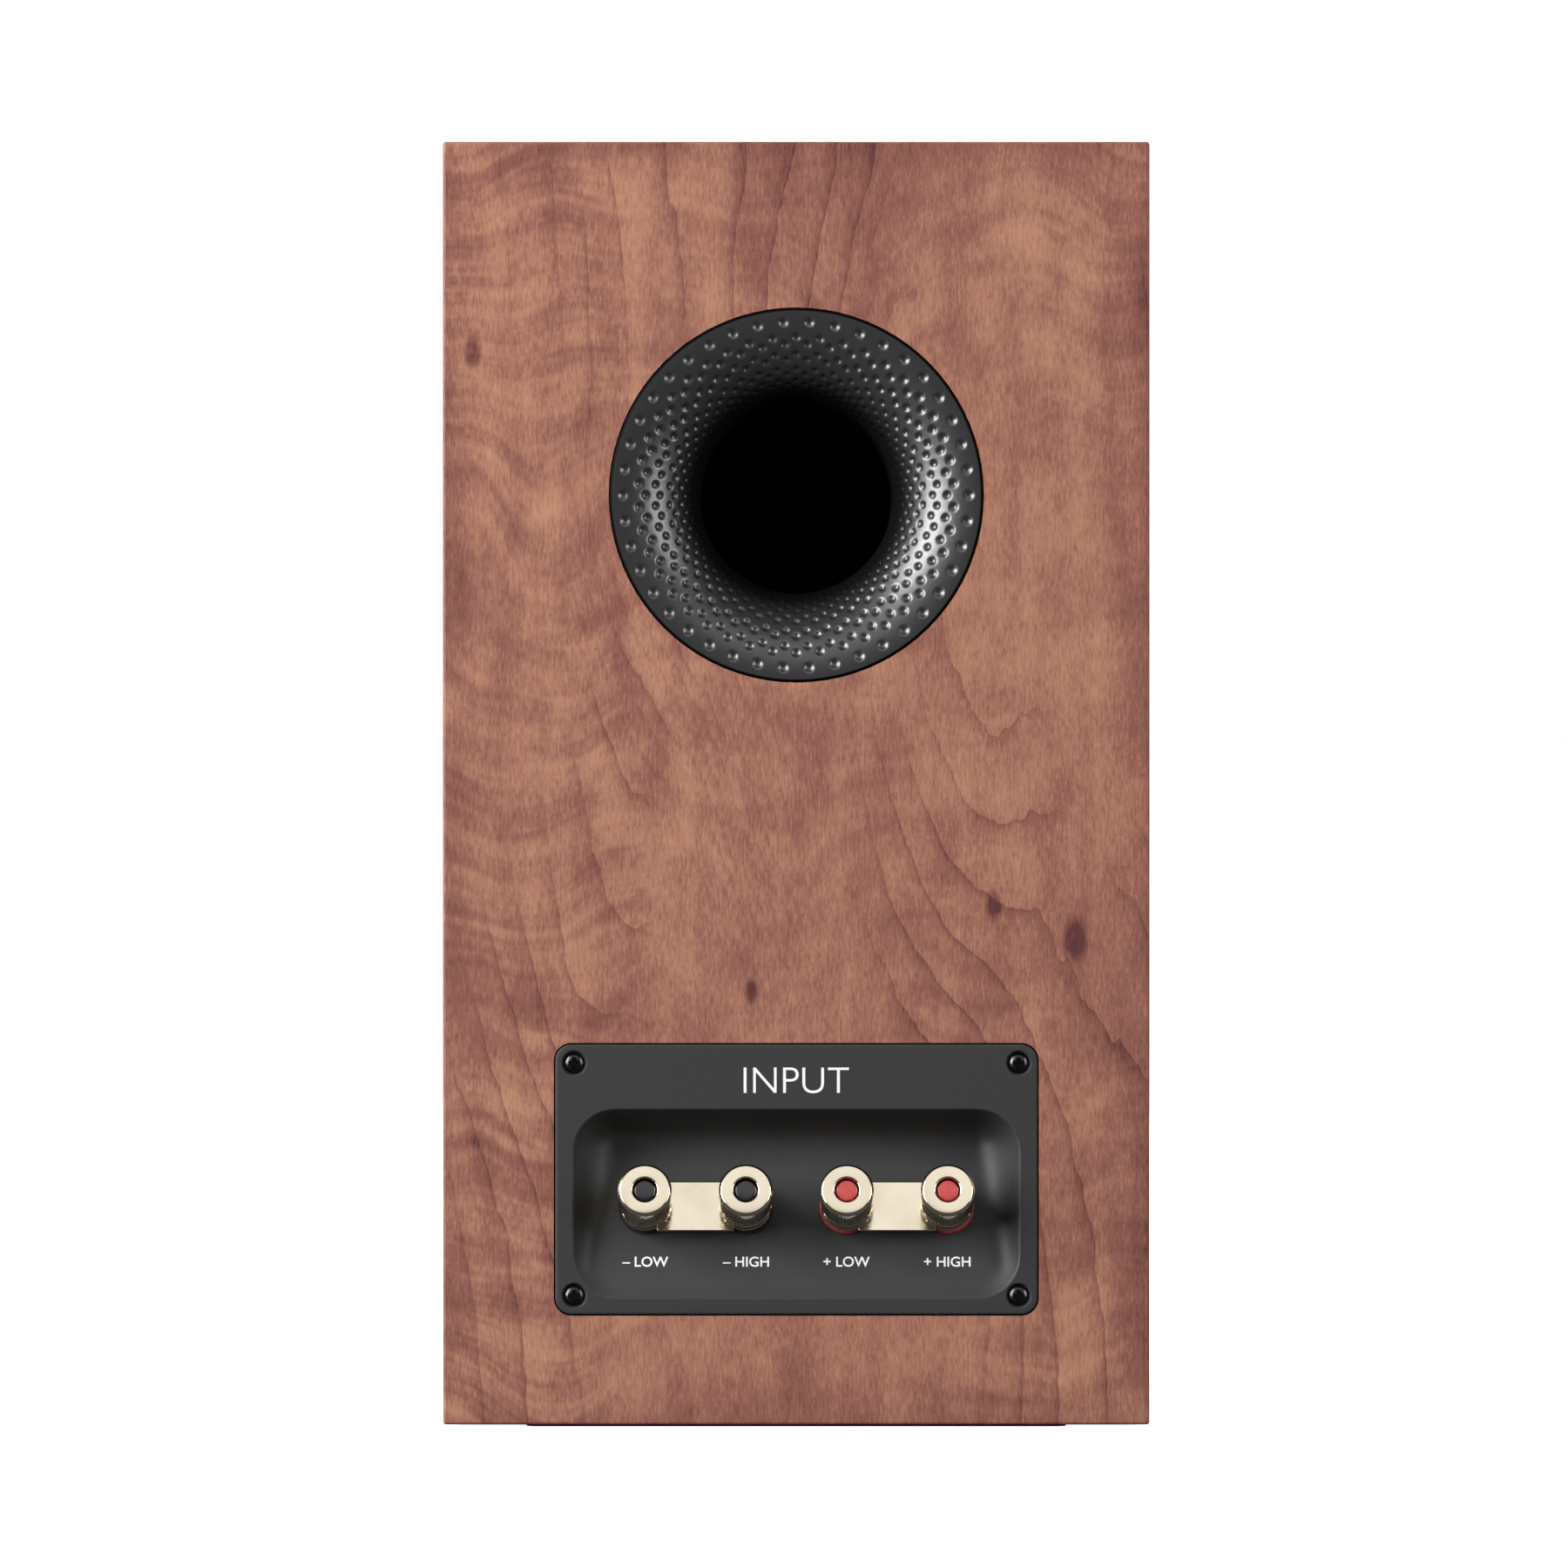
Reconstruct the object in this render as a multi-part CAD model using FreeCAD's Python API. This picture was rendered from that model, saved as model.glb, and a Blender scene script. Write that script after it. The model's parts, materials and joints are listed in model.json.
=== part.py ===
import FreeCAD
import Part
import math
import os

# Two-way bookshelf loudspeaker, as the pieces that it comes apart into on a bench.
# Millimetres. +Z is up, the drive units face -Y, the terminals and the port face +Y.
# The origin is under the middle of the whole object, on the plane that its foot strips stand on.

Vector = FreeCAD.Vector

# ---------------------------------------------------------------- driving dimensions
CABINET_WIDTH = 190.0
CABINET_HEIGHT = 345.0
CABINET_DEPTH = 300.0
CABINET_FRONT = -154.1  # the baffle's front face, set so that the whole object is centred on Y
BOARD = 15.0  # wrapped fibreboard of the sides, top, bottom and rear
BAFFLE = 18.0
WRAP_EDGE = 0.8  # rounding of the folded corners of the wrap
BAFFLE_EDGE = 2.5
FOOT_HEIGHT = 1.5
FOOT_WIDTH = 146.0
FOOT_DEPTH = 14.0
FOOT_INSET = 20.0

FACE_PROUD = 0.2  # how far the port flare and the terminal plate stand out of their rebates
PORT_BELOW_TOP = 95.0
PORT_FLANGE_RADIUS = 50.05
PORT_THROAT_RADIUS = 26.0
PORT_REBATE = 3.0
PORT_REBATE_GAP = 0.4
PORT_WALL = 2.5
PORT_SPIGOT_START = 34.0
PORT_SPIGOT_END = 42.0
PORT_DEPTH = 128.0
PORT_HOLE_RADIUS = 46.0

PLATE_WIDTH = 129.6
PLATE_HEIGHT = 72.6
PLATE_CORNER = 4.4
PLATE_ABOVE_BASE = 66.0  # centre of the terminal plate above the cabinet's underside
PLATE_REBATE = 3.3
PLATE_REBATE_GAP = 0.4
GASKET = 0.8
RECESS_WIDTH = 119.9
RECESS_HEIGHT = 50.7
RECESS_ABOVE_PLATE_BOTTOM = 4.3
RECESS_CORNER = 11.5
RECESS_SHALLOW = 1.0  # depth of the recess at its lower edge
RECESS_TILT = 18.0  # the floor leans so that the posts point a little upwards
TRAY_WALL = 2.0
TRAY_SCREW_SPACING = (119.5, 62.5)

POST_PITCH = 27.1
POST_ABOVE_BASE = 57.9
POST_LENGTH = 18.2  # from the recess floor to the knob's front face
SHAFT_RADIUS = 3.0
SOCKET_RADIUS = 2.0
KNOB_RADIUS = 7.25

INSULATOR_TOP = 1.8  # levels along a post, out from the recess floor
COLLAR_TOP = 3.0  # the fixed contact face that a cable or link is clamped against
WASHER_BOTTOM = 4.2
KNOB_BOTTOM = 5.3
SHAFT_END = 15.7
LINK_THICKNESS = 1.14
TAG_THICKNESS = 0.8

WOOFER_ABOVE_BASE = 110.5
WOOFER_FLANGE_FRONT = -1.5  # distances behind the baffle's face: negative is proud of it
WOOFER_FLANGE_BACK = 3.5
WOOFER_FLANGE_RADIUS = 86.0
WOOFER_HOLE_RADIUS = 77.0
TWEETER_ABOVE_BASE = 268.5
TWEETER_FLANGE_FRONT = -1.2
TWEETER_FLANGE_BACK = 3.0
TWEETER_FLANGE_RADIUS = 52.0
TWEETER_HOLE_RADIUS = 33.0
TWEETER_YOKE_BACK = 20.1
SCREW_SHANK = 2.0
HEAD_DEPTH = 1.4  # how deep a driver screw's head sits in the flange

BOARD_ABOVE_INSIDE = 6.0  # the crossover board, above the cabinet's inner bottom
BOARD_THICK = 1.6
BOARD_HALF = 55.0
BOARD_Y = (5.0, 95.0)

# ---------------------------------------------------------------- places worked out from them
BASE = FOOT_HEIGHT
TOP = BASE + CABINET_HEIGHT
HALF_WIDTH = CABINET_WIDTH / 2
FRONT = CABINET_FRONT
REAR = FRONT + CABINET_DEPTH
INNER_FRONT = FRONT + BAFFLE
INNER_REAR = REAR - BOARD
INNER_HALF = HALF_WIDTH - BOARD
INNER_BASE = BASE + BOARD
INNER_TOP = TOP - BOARD
PORT_Z = TOP - PORT_BELOW_TOP
PLATE_Z = BASE + PLATE_ABOVE_BASE
PLATE_BOTTOM = PLATE_Z - PLATE_HEIGHT / 2
PLATE_FACE = REAR + FACE_PROUD
PLATE_BACK = REAR - PLATE_REBATE + GASKET
RECESS_BOTTOM = PLATE_BOTTOM + RECESS_ABOVE_PLATE_BOTTOM
TILT = math.radians(RECESS_TILT)
POST_X = [POST_PITCH * k for k in (1.5, 0.5, -0.5, -1.5)]  # from the left, seen from behind
POST_Z = BASE + POST_ABOVE_BASE
WOOFER_Z = BASE + WOOFER_ABOVE_BASE
TWEETER_Z = BASE + TWEETER_ABOVE_BASE
TAG_BACK = -TRAY_WALL - TAG_THICKNESS - 0.1
BOARD_LOW = INNER_BASE + BOARD_ABOVE_INSIDE
BOARD_TOP = BOARD_LOW + BOARD_THICK
STANDOFF_Y = (BOARD_Y[0] + 5, BOARD_Y[1] - 5)
INWARD = Vector(0, 1, 0)
OUT_OF_REAR = Vector(0, 1, 0)
POST_AXIS = Vector(0, math.cos(TILT), math.sin(TILT))
UP_FLOOR = Vector(0, -math.sin(TILT), math.cos(TILT))


def floor_depth(z):
    """How far the recess floor lies behind the plate's face at height z."""
    return RECESS_SHALLOW + (z - RECESS_BOTTOM) * math.tan(TILT)


# ---------------------------------------------------------------- tools
def export(name, *solids):
    """Writes one node: a solid, or a group of separate solids."""
    shape = solids[0] if len(solids) == 1 else Part.makeCompound(list(solids))
    shape.exportStep("parts/" + name + ".step")


def block(x0, x1, y0, y1, z0, z1):
    return Part.makeBox(x1 - x0, y1 - y0, z1 - z0, Vector(x0, y0, z0))


def upright_edges(shape):
    return [e for e in shape.Edges if abs(e.tangentAt(e.FirstParameter).z) > 0.99]


def rod(radius, start, direction, length):
    return Part.makeCylinder(radius, length, start, direction)


def turned(profile):
    """A solid turned about local Z. A profile point is (radius, along) for a straight line to it,
    or (middle radius, middle along, radius, along) for an arc to it."""
    edges = []
    first = last = Vector(profile[0][-2], 0, profile[0][-1])
    for point in profile[1:] + profile[:1]:
        end = Vector(point[-2], 0, point[-1])
        if len(point) == 4:
            edges.append(Part.Arc(last, Vector(point[0], 0, point[1]), end).toShape())
        elif (end - last).Length > 1e-6:
            edges.append(Part.LineSegment(last, end).toShape())
        last = end
    assert (last - first).Length < 1e-6
    solid = Part.Face(Part.Wire(edges)).revolve(Vector(0, 0, 0), Vector(0, 0, 1), 360)
    return solid if solid.Volume > 0 else solid.reversed()


def arc_middle(start, end, centre):
    """The middle of the shorter arc from start to end about centre, as (radius, along)."""
    radius = math.hypot(start[0] - centre[0], start[1] - centre[1])
    a = math.atan2(start[1] - centre[1], start[0] - centre[0])
    b = math.atan2(end[1] - centre[1], end[0] - centre[0])
    turn = (b - a + math.pi) % (2 * math.pi) - math.pi
    middle = a + turn / 2
    return centre[0] + radius * math.cos(middle), centre[1] + radius * math.sin(middle)


def cap_middle(crest, rim):
    """The middle of a spherical cap's arc, from its crest on the axis to its rim, as (radius, along)."""
    rise = rim[1] - crest
    radius = (rim[0] ** 2 + rise**2) / (2 * rise)
    return arc_middle((0, crest), rim, (0, crest + radius))


def placed(shape, origin, direction):
    """Carries local Z onto direction and local zero onto origin."""
    moved = shape.copy()
    turn = FreeCAD.Rotation(Vector(0, 0, 1), direction)
    moved.Placement = FreeCAD.Placement(origin, turn).multiply(shape.Placement)
    return moved


def rounded_plate(width, height, corner, thickness, centre, y0):
    """A rounded rectangle in X and Z, from y0 towards +Y."""
    x0, z0 = centre[0] - width / 2, centre[1] - height / 2
    plate = block(x0, x0 + width, y0, y0 + thickness, z0, z0 + height)
    upright = [e for e in plate.Edges if abs(e.tangentAt(e.FirstParameter).y) > 0.99]
    return plate.makeFillet(corner, upright)


def tapered_board(outer, inner):
    """A board between two rectangles, each given by its four corners in the same order."""
    faces = [Part.Face(Part.makePolygon(loop + loop[:1])) for loop in (outer, inner)]
    for k in range(4):
        n = (k + 1) % 4
        corners = [outer[k], outer[n], inner[n], inner[k]]
        faces.append(Part.Face(Part.makePolygon(corners + corners[:1])))
    solid = Part.makeSolid(Part.makeShell(faces))
    return solid if solid.Volume > 0 else solid.reversed()


def lead(points, radius):
    """An insulated lead: straight runs joined by tangent arcs as large as the runs allow."""
    points = [Vector(*p) for p in points]
    edges = []
    last = points[0]
    for before, corner, after in zip(points, points[1:], points[2:]):
        back, on = (before - corner), (after - corner)
        shorter = min(back.Length, on.Length)
        back.normalize()
        on.normalize()
        cut = 0.45 * shorter
        start, end = corner + back * cut, corner + on * cut
        half_turn = (math.pi - back.getAngle(on)) / 2
        bend = cut / math.tan(half_turn)
        to_centre = back + on
        to_centre.normalize()
        centre = corner + to_centre * math.hypot(cut, bend)
        middle = centre - to_centre * bend
        edges.append(Part.LineSegment(last, start).toShape())
        edges.append(Part.Arc(start, middle, end).toShape())
        last = end
    edges.append(Part.LineSegment(last, points[-1]).toShape())
    path = Part.Wire(edges)
    section = Part.Wire(Part.makeCircle(radius, points[0], points[1] - points[0]))
    tube = path.makePipeShell([section], True, False)
    assert abs(tube.Volume / (math.pi * radius**2 * path.Length) - 1) < 0.01
    return tube


# ---------------------------------------------------------------- cabinet
def cabinet_envelope():
    """The outside of the wrapped cabinet, with its folded corners rounded."""
    body = block(-HALF_WIDTH, HALF_WIDTH, INNER_FRONT, REAR, BASE, TOP)
    folded = []
    for edge in body.Edges:
        middle = edge.valueAt((edge.FirstParameter + edge.LastParameter) / 2)
        if middle.y > INNER_FRONT + 1:
            folded.append(edge)
    return body.makeFillet(WRAP_EDGE, folded)


def side_panel(side, envelope):
    outer_x, inner_x = side * HALF_WIDTH, side * INNER_HALF
    outer = [(INNER_FRONT, BASE), (REAR, BASE), (REAR, TOP), (INNER_FRONT, TOP)]
    inner = [(INNER_FRONT, INNER_BASE), (INNER_REAR, INNER_BASE)]
    inner += [(INNER_REAR, INNER_TOP), (INNER_FRONT, INNER_TOP)]
    outer_loop = [Vector(outer_x, y, z) for y, z in outer]
    inner_loop = [Vector(inner_x, y, z) for y, z in inner]
    return tapered_board(outer_loop, inner_loop).common(envelope)


def flat_panel(outer_z, inner_z, envelope):
    """The top or the bottom of the wrap."""
    outer = [(-HALF_WIDTH, INNER_FRONT), (HALF_WIDTH, INNER_FRONT)]
    outer += [(HALF_WIDTH, REAR), (-HALF_WIDTH, REAR)]
    inner = [(-INNER_HALF, INNER_FRONT), (INNER_HALF, INNER_FRONT)]
    inner += [(INNER_HALF, INNER_REAR), (-INNER_HALF, INNER_REAR)]
    outer_loop = [Vector(x, y, outer_z) for x, y in outer]
    inner_loop = [Vector(x, y, inner_z) for x, y in inner]
    return tapered_board(outer_loop, inner_loop).common(envelope)


def tray_screw_places():
    half_x, half_z = TRAY_SCREW_SPACING[0] / 2, TRAY_SCREW_SPACING[1] / 2
    return [(x, PLATE_Z + dz) for x in (-half_x, half_x) for dz in (-half_z, half_z)]


def recess_outline(grow, thickness, y0):
    """The recess's rounded outline, grown all round, as a plate."""
    width, height = RECESS_WIDTH + 2 * grow, RECESS_HEIGHT + 2 * grow
    middle = (0, RECESS_BOTTOM + RECESS_HEIGHT / 2)
    return rounded_plate(width, height, RECESS_CORNER + grow, thickness, middle, y0)


def plate_outline(grow, thickness, y0):
    """The terminal plate's rounded outline, grown all round, as a plate."""
    width, height = PLATE_WIDTH + 2 * grow, PLATE_HEIGHT + 2 * grow
    return rounded_plate(width, height, PLATE_CORNER + grow, thickness, (0, PLATE_Z), y0)


def rear_panel(envelope):
    outer = [(-HALF_WIDTH, BASE), (HALF_WIDTH, BASE), (HALF_WIDTH, TOP), (-HALF_WIDTH, TOP)]
    inner = [(-INNER_HALF, INNER_BASE), (INNER_HALF, INNER_BASE)]
    inner += [(INNER_HALF, INNER_TOP), (-INNER_HALF, INNER_TOP)]
    outer_loop = [Vector(x, REAR, z) for x, z in outer]
    inner_loop = [Vector(x, INNER_REAR, z) for x, z in inner]
    board = tapered_board(outer_loop, inner_loop).common(envelope)
    rebate_radius = PORT_FLANGE_RADIUS + PORT_REBATE_GAP
    tools = [
        rod(PORT_HOLE_RADIUS, Vector(0, INNER_REAR - 1, PORT_Z), INWARD, BOARD + 2),
        rod(rebate_radius, Vector(0, REAR - PORT_REBATE, PORT_Z), INWARD, 5),
        recess_outline(TRAY_WALL + 0.3, BOARD + 2, INNER_REAR - 1),
        plate_outline(PLATE_REBATE_GAP, PLATE_REBATE + 2, REAR - PLATE_REBATE),
    ]
    for x, z in tray_screw_places():
        tools.append(rod(1.65, Vector(x, INNER_REAR - 1, z), INWARD, BOARD + 2))
    return board.cut(tools)


def driver_screw_places():
    """Screw places of both drive units, as (x, z, distance of the head's seat behind the baffle face)."""
    woofer = (8, 80.4, WOOFER_Z, 22.5, WOOFER_FLANGE_FRONT)
    tweeter = (4, 46.5, TWEETER_Z, 45.0, TWEETER_FLANGE_FRONT)
    places = []
    for count, pitch_radius, z, turn, seat in (woofer, tweeter):
        for k in range(count):
            a = math.radians(turn + 360 / count * k)
            places.append((pitch_radius * math.cos(a), z + pitch_radius * math.sin(a), seat))
    return places


def front_baffle():
    board = block(-HALF_WIDTH, HALF_WIDTH, FRONT, INNER_FRONT, BASE, TOP)
    front_edges = []
    for edge in board.Edges:
        middle = edge.valueAt((edge.FirstParameter + edge.LastParameter) / 2)
        if middle.y < FRONT + 0.1:
            front_edges.append(edge)
    board = board.makeFillet(BAFFLE_EDGE, front_edges)
    woofer = (WOOFER_Z, WOOFER_HOLE_RADIUS, WOOFER_FLANGE_RADIUS, WOOFER_FLANGE_BACK)
    tweeter = (TWEETER_Z, TWEETER_HOLE_RADIUS, TWEETER_FLANGE_RADIUS, TWEETER_FLANGE_BACK)
    tools = []
    for z, hole, flange, back in (woofer, tweeter):
        tools.append(rod(hole, Vector(0, FRONT - 1, z), INWARD, BAFFLE + 2))
        tools.append(rod(flange + 0.4, Vector(0, FRONT - 1, z), INWARD, back + 1))
    for x, z, _ in driver_screw_places():
        tools.append(rod(SCREW_SHANK + 0.05, Vector(x, FRONT, z), INWARD, 15))
    return board.cut(tools)


def shelf_brace():
    """A window brace between the two drive units: a board with two large openings."""
    low, thick, rail = 192.0, 12.0, 22.0
    board = block(-INNER_HALF, INNER_HALF, INNER_FRONT, INNER_REAR, low, low + thick)
    middle = (INNER_FRONT + INNER_REAR) / 2
    side = INNER_HALF - rail
    windows = []
    for y0, y1 in ((INNER_FRONT + rail, middle - rail / 2), (middle + rail / 2, INNER_REAR - rail)):
        window = block(-side, side, y0, y1, low - 1, low + thick + 1)
        windows.append(window.makeFillet(12, upright_edges(window)))
    return board.cut(windows)


def foot_strips():
    strips = []
    for y0 in (FRONT + FOOT_INSET, REAR - FOOT_INSET - FOOT_DEPTH):
        strip = block(-FOOT_WIDTH / 2, FOOT_WIDTH / 2, y0, y0 + FOOT_DEPTH, 0, FOOT_HEIGHT)
        strips.append(strip.makeFillet(3.0, upright_edges(strip)))
    return strips


def wadding():
    """A pad of polyester wadding on the inside of the left side panel."""
    pad = block(-INNER_HALF, -INNER_HALF + 18, -40, 100, 45, 185)
    return pad.makeFillet(6, pad.Edges)


# ---------------------------------------------------------------- port
def port_flare():
    """Flared mouth and spigot in one moulding. Along is the distance behind the rear panel's face."""
    edge, throat_radius = PORT_FLANGE_RADIUS, PORT_THROAT_RADIUS
    face = -FACE_PROUD
    curve = edge - throat_radius
    centre = (edge, face + curve)
    middle = arc_middle((edge, face), (throat_radius, face + curve), centre)
    back_curve = curve - PORT_WALL
    seat = edge - math.sqrt(back_curve**2 - (centre[1] - PORT_REBATE) ** 2)
    outer_throat = (throat_radius + PORT_WALL, face + curve)
    outer_middle = arc_middle(outer_throat, (seat, PORT_REBATE), centre)
    socket = throat_radius + 1.4
    return turned([
        (edge, PORT_REBATE),
        (edge, face),
        (*middle, throat_radius, face + curve),
        (throat_radius, PORT_SPIGOT_END),
        (socket, PORT_SPIGOT_END),
        (socket, PORT_SPIGOT_START),
        (throat_radius + PORT_WALL, PORT_SPIGOT_START),
        outer_throat,
        (*outer_middle, seat, PORT_REBATE),
    ])


def port_tube():
    outer = PORT_THROAT_RADIUS + PORT_WALL
    mouth = 10.0
    start = PORT_DEPTH - mouth
    end_inner = (PORT_THROAT_RADIUS + mouth, PORT_DEPTH)
    end_outer = (PORT_THROAT_RADIUS + mouth, PORT_DEPTH - PORT_WALL)
    centre = (PORT_THROAT_RADIUS + mouth, start)
    inner_middle = arc_middle((PORT_THROAT_RADIUS, start), end_inner, centre)
    outer_middle = arc_middle(end_outer, (outer, start), centre)
    return turned([
        (PORT_THROAT_RADIUS + 1.5, PORT_SPIGOT_START + 0.1),
        (outer, PORT_SPIGOT_START + 0.1),
        (outer, start),
        (*outer_middle, *end_outer),
        end_inner,
        (*inner_middle, PORT_THROAT_RADIUS, start),
        (PORT_THROAT_RADIUS, PORT_SPIGOT_END + 0.2),
        (PORT_THROAT_RADIUS + 1.5, PORT_SPIGOT_END + 0.2),
    ])


# ---------------------------------------------------------------- terminal tray
def recess_space(grow):
    """The wedge-shaped space of the recess, grown by the wall for the tub's outside.
    Its floor leans by the tilt, and its sides and top come in on slopes above the floor."""
    prism = recess_outline(grow, 40, PLATE_FACE - 30)
    reach = 200.0
    cutters = []
    # floor plane: through the lower edge of the recess, leaning back
    floor_point = Vector(0, PLATE_FACE - RECESS_SHALLOW - grow / math.cos(TILT), RECESS_BOTTOM)
    cutters.append((floor_point, POST_AXIS))
    # slopes where the floor meets the sides and the top
    slope = math.radians(52)
    for side in (-1, 1):
        normal = Vector(-side * math.sin(slope), math.cos(slope), 0)
        depth = PLATE_FACE - 4.0
        cutters.append((Vector(side * (RECESS_WIDTH / 2 + grow), depth - grow * 0.4, 0), normal))
    top_normal = Vector(0, math.cos(slope), -math.sin(slope))
    top_point = Vector(0, PLATE_FACE - 7.5 - grow * 0.4, RECESS_BOTTOM + RECESS_HEIGHT + grow)
    cutters.append((top_point, top_normal))
    for point, normal in cutters:
        slab = Part.makeBox(2 * reach, 2 * reach, reach, Vector(-reach, -reach, -reach))
        prism = prism.cut(placed(slab, point, normal))
    return prism


def terminal_tray():
    plate = plate_outline(0, PLATE_FACE - PLATE_BACK, PLATE_BACK)
    tub = recess_space(TRAY_WALL).common(block(-100, 100, REAR - 40, PLATE_BACK + 0.5, 0, 200))
    tray = plate.fuse(tub).cut(recess_space(0))
    for x, z in tray_screw_places():
        dish = turned([(0, 0), (3.25, 0), (2.9, -1.3), (0, -1.3)])
        tray = tray.cut(placed(dish, Vector(x, PLATE_FACE, z), OUT_OF_REAR))
        tray = tray.cut(rod(1.9, Vector(x, PLATE_BACK - 1, z), INWARD, 10))
    for x in POST_X:
        start = post_point(x, -TRAY_WALL - 3)
        tray = tray.cut(rod(4.1, start, POST_AXIS, TRAY_WALL + 6))
    return tray.removeSplitter()


def tray_gasket():
    seat = REAR - PLATE_REBATE
    ring = plate_outline(-0.6, GASKET, seat)
    window = recess_outline(TRAY_WALL + 0.1, GASKET + 2, seat - 1)
    holes = [rod(1.9, Vector(x, seat - 1, z), INWARD, 3) for x, z in tray_screw_places()]
    return ring.cut([window] + holes)


def cross_head_screw(head_radius, head_height, shank_radius, length):
    """A domed, cross-recessed screw along local Z: the head above zero, the shank below."""
    rise = head_height
    middle = (head_radius * 0.62, rise * 0.82)
    body = turned([
        (0, rise),
        (0, -length),
        (shank_radius * 0.3, -length),
        (shank_radius, -length + 2.5),
        (shank_radius, 0),
        (head_radius, 0),
        (head_radius, rise * 0.25),
        (*middle, 0, rise),
    ])
    slot, reach = head_radius * 0.2, head_radius * 0.58
    for width, depth in ((slot, reach), (reach, slot)):
        cut = block(-width, width, -depth, depth, rise * 0.25, rise + 1)
        body = body.cut(cut)
    return body


def tray_screws():
    seat = PLATE_FACE - 1.3
    screw = cross_head_screw(2.75, 1.3, 1.6, 12)
    return [placed(screw, Vector(x, seat, z), OUT_OF_REAR) for x, z in tray_screw_places()]


# ---------------------------------------------------------------- binding posts
def post_point(x, along):
    """A point on a post's axis, at a distance out from the recess floor."""
    return Vector(x, PLATE_FACE - floor_depth(POST_Z), POST_Z) + POST_AXIS * along


def on_post(shape, x):
    return placed(shape, post_point(x, 0), POST_AXIS)


def on_floor(shape, x, along=0.0):
    """As on_post, for a shape that isn't round: its local Y goes up the recess floor."""
    moved = shape.copy()
    turn = FreeCAD.Rotation(UP_FLOOR.cross(POST_AXIS), UP_FLOOR, POST_AXIS, "ZYX")
    moved.Placement = FreeCAD.Placement(post_point(x, along), turn).multiply(shape.Placement)
    return moved


def insulator():
    return turned([
        (3.05, -TRAY_WALL), (4.0, -TRAY_WALL), (4.0, 0), (7.0, 0), (KNOB_RADIUS, 0.25),
        (KNOB_RADIUS, 1.3), (6.75, INSULATOR_TOP), (3.05, INSULATOR_TOP),
    ])


def shaft():
    """Contact stud: a threaded tail, a fixed collar, and a barrel with a plug socket and a cable hole."""
    return turned([
        (0, -14), (1.6, -14), (2.0, -13.6), (2.0, -TRAY_WALL - 0.05), (SHAFT_RADIUS, -TRAY_WALL - 0.05),
        (SHAFT_RADIUS, INSULATOR_TOP), (6.7, INSULATOR_TOP), (6.95, 2.05), (6.95, 2.75), (6.7, COLLAR_TOP),
        (SHAFT_RADIUS, COLLAR_TOP), (SHAFT_RADIUS, SHAFT_END - 0.3), (SHAFT_RADIUS - 0.3, SHAFT_END),
        (SOCKET_RADIUS, SHAFT_END), (SOCKET_RADIUS, 4.6), (0, 4.0),
    ])


def washer():
    return turned([
        (3.12, WASHER_BOTTOM), (6.6, WASHER_BOTTOM), (6.85, 4.45), (6.85, 4.95), (6.6, 5.2), (3.12, 5.2)])


def knob():
    """Clamping knob: a collar, a fluted grip and a smooth cap with a bevelled front face."""
    return turned([
        (3.1, KNOB_BOTTOM), (6.4, KNOB_BOTTOM), (6.65, 5.55), (6.65, 6.5), (6.95, 6.8),
        (6.95, 11.9), (6.6, 12.2), (6.6, 12.6), (7.0, 12.85), (KNOB_RADIUS, 13.1), (KNOB_RADIUS, 17.5),
        (6.6, POST_LENGTH), (3.45, POST_LENGTH), (3.2, 17.95), (3.2, 15.9), (3.1, 15.8),
    ])


def blanking_plug():
    return turned([
        (0, 6.0), (1.4, 6.0), (1.9, 6.7), (1.9, 15.8), (2.9, 15.8), (2.9, 17.1), (2.6, 17.45), (0, 17.6),
    ])


def link_plate(post_a, post_b):
    """A plated link between two posts. Its tongues hook over the shafts, so it lifts off upwards."""
    half_pitch, half_body = POST_PITCH / 2, 10.3
    low, high, tongue_low, tongue_end = -7.4, 6.2, -4.2, half_pitch + 5.0
    body = block(-half_body, half_body, low, high, 0, LINK_THICKNESS)
    plate = body.fuse(block(-tongue_end, tongue_end, tongue_low, high, 0, LINK_THICKNESS)).removeSplitter()
    corners = [e for e in upright_edges(plate) if abs(e.Vertexes[0].Point.x) > tongue_end - 0.1]
    plate = plate.makeFillet(2.2, corners)
    for side in (-1, 1):
        x = side * half_pitch
        slot = SHAFT_RADIUS + 0.12
        plate = plate.cut(rod(slot, Vector(x, 0, -1), Vector(0, 0, 1), 4))
        plate = plate.cut(block(x - slot, x + slot, low - 1, 0, -1, 3))
    return on_floor(plate, (post_a + post_b) / 2, COLLAR_TOP + 0.03)


def post_nut():
    across_corners = 8.08
    turns = [math.radians(a) for a in range(0, 361, 60)]
    corners = [Vector(math.cos(a), math.sin(a), 0) * (across_corners / 2) for a in turns]
    nut = Part.Face(Part.makePolygon(corners)).extrude(Vector(0, 0, -3.2))
    nut = nut.cut(rod(2.05, Vector(0, 0, 1), Vector(0, 0, -1), 6))
    nut.translate(Vector(0, 0, -TRAY_WALL - 1.0))
    return nut


def solder_tag():
    """A ring tongue under the nut, with a tail for the lead."""
    top = TAG_BACK + TAG_THICKNESS
    ring = rod(4.6, Vector(0, 0, top), Vector(0, 0, -1), TAG_THICKNESS)
    tail = block(-2.2, 2.2, -13, 0, TAG_BACK, top)
    return ring.fuse(tail).cut(rod(2.05, Vector(0, 0, 0), Vector(0, 0, -1), 6)).removeSplitter()


# ---------------------------------------------------------------- crossover and leads
def crossover_board():
    board = block(-BOARD_HALF, BOARD_HALF, *BOARD_Y, BOARD_LOW, BOARD_TOP)
    places = [(x, y) for x in (-50, 50) for y in STANDOFF_Y]
    return board.cut([rod(1.8, Vector(x, y, BOARD_LOW - 1), Vector(0, 0, 1), 5) for x, y in places])


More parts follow.
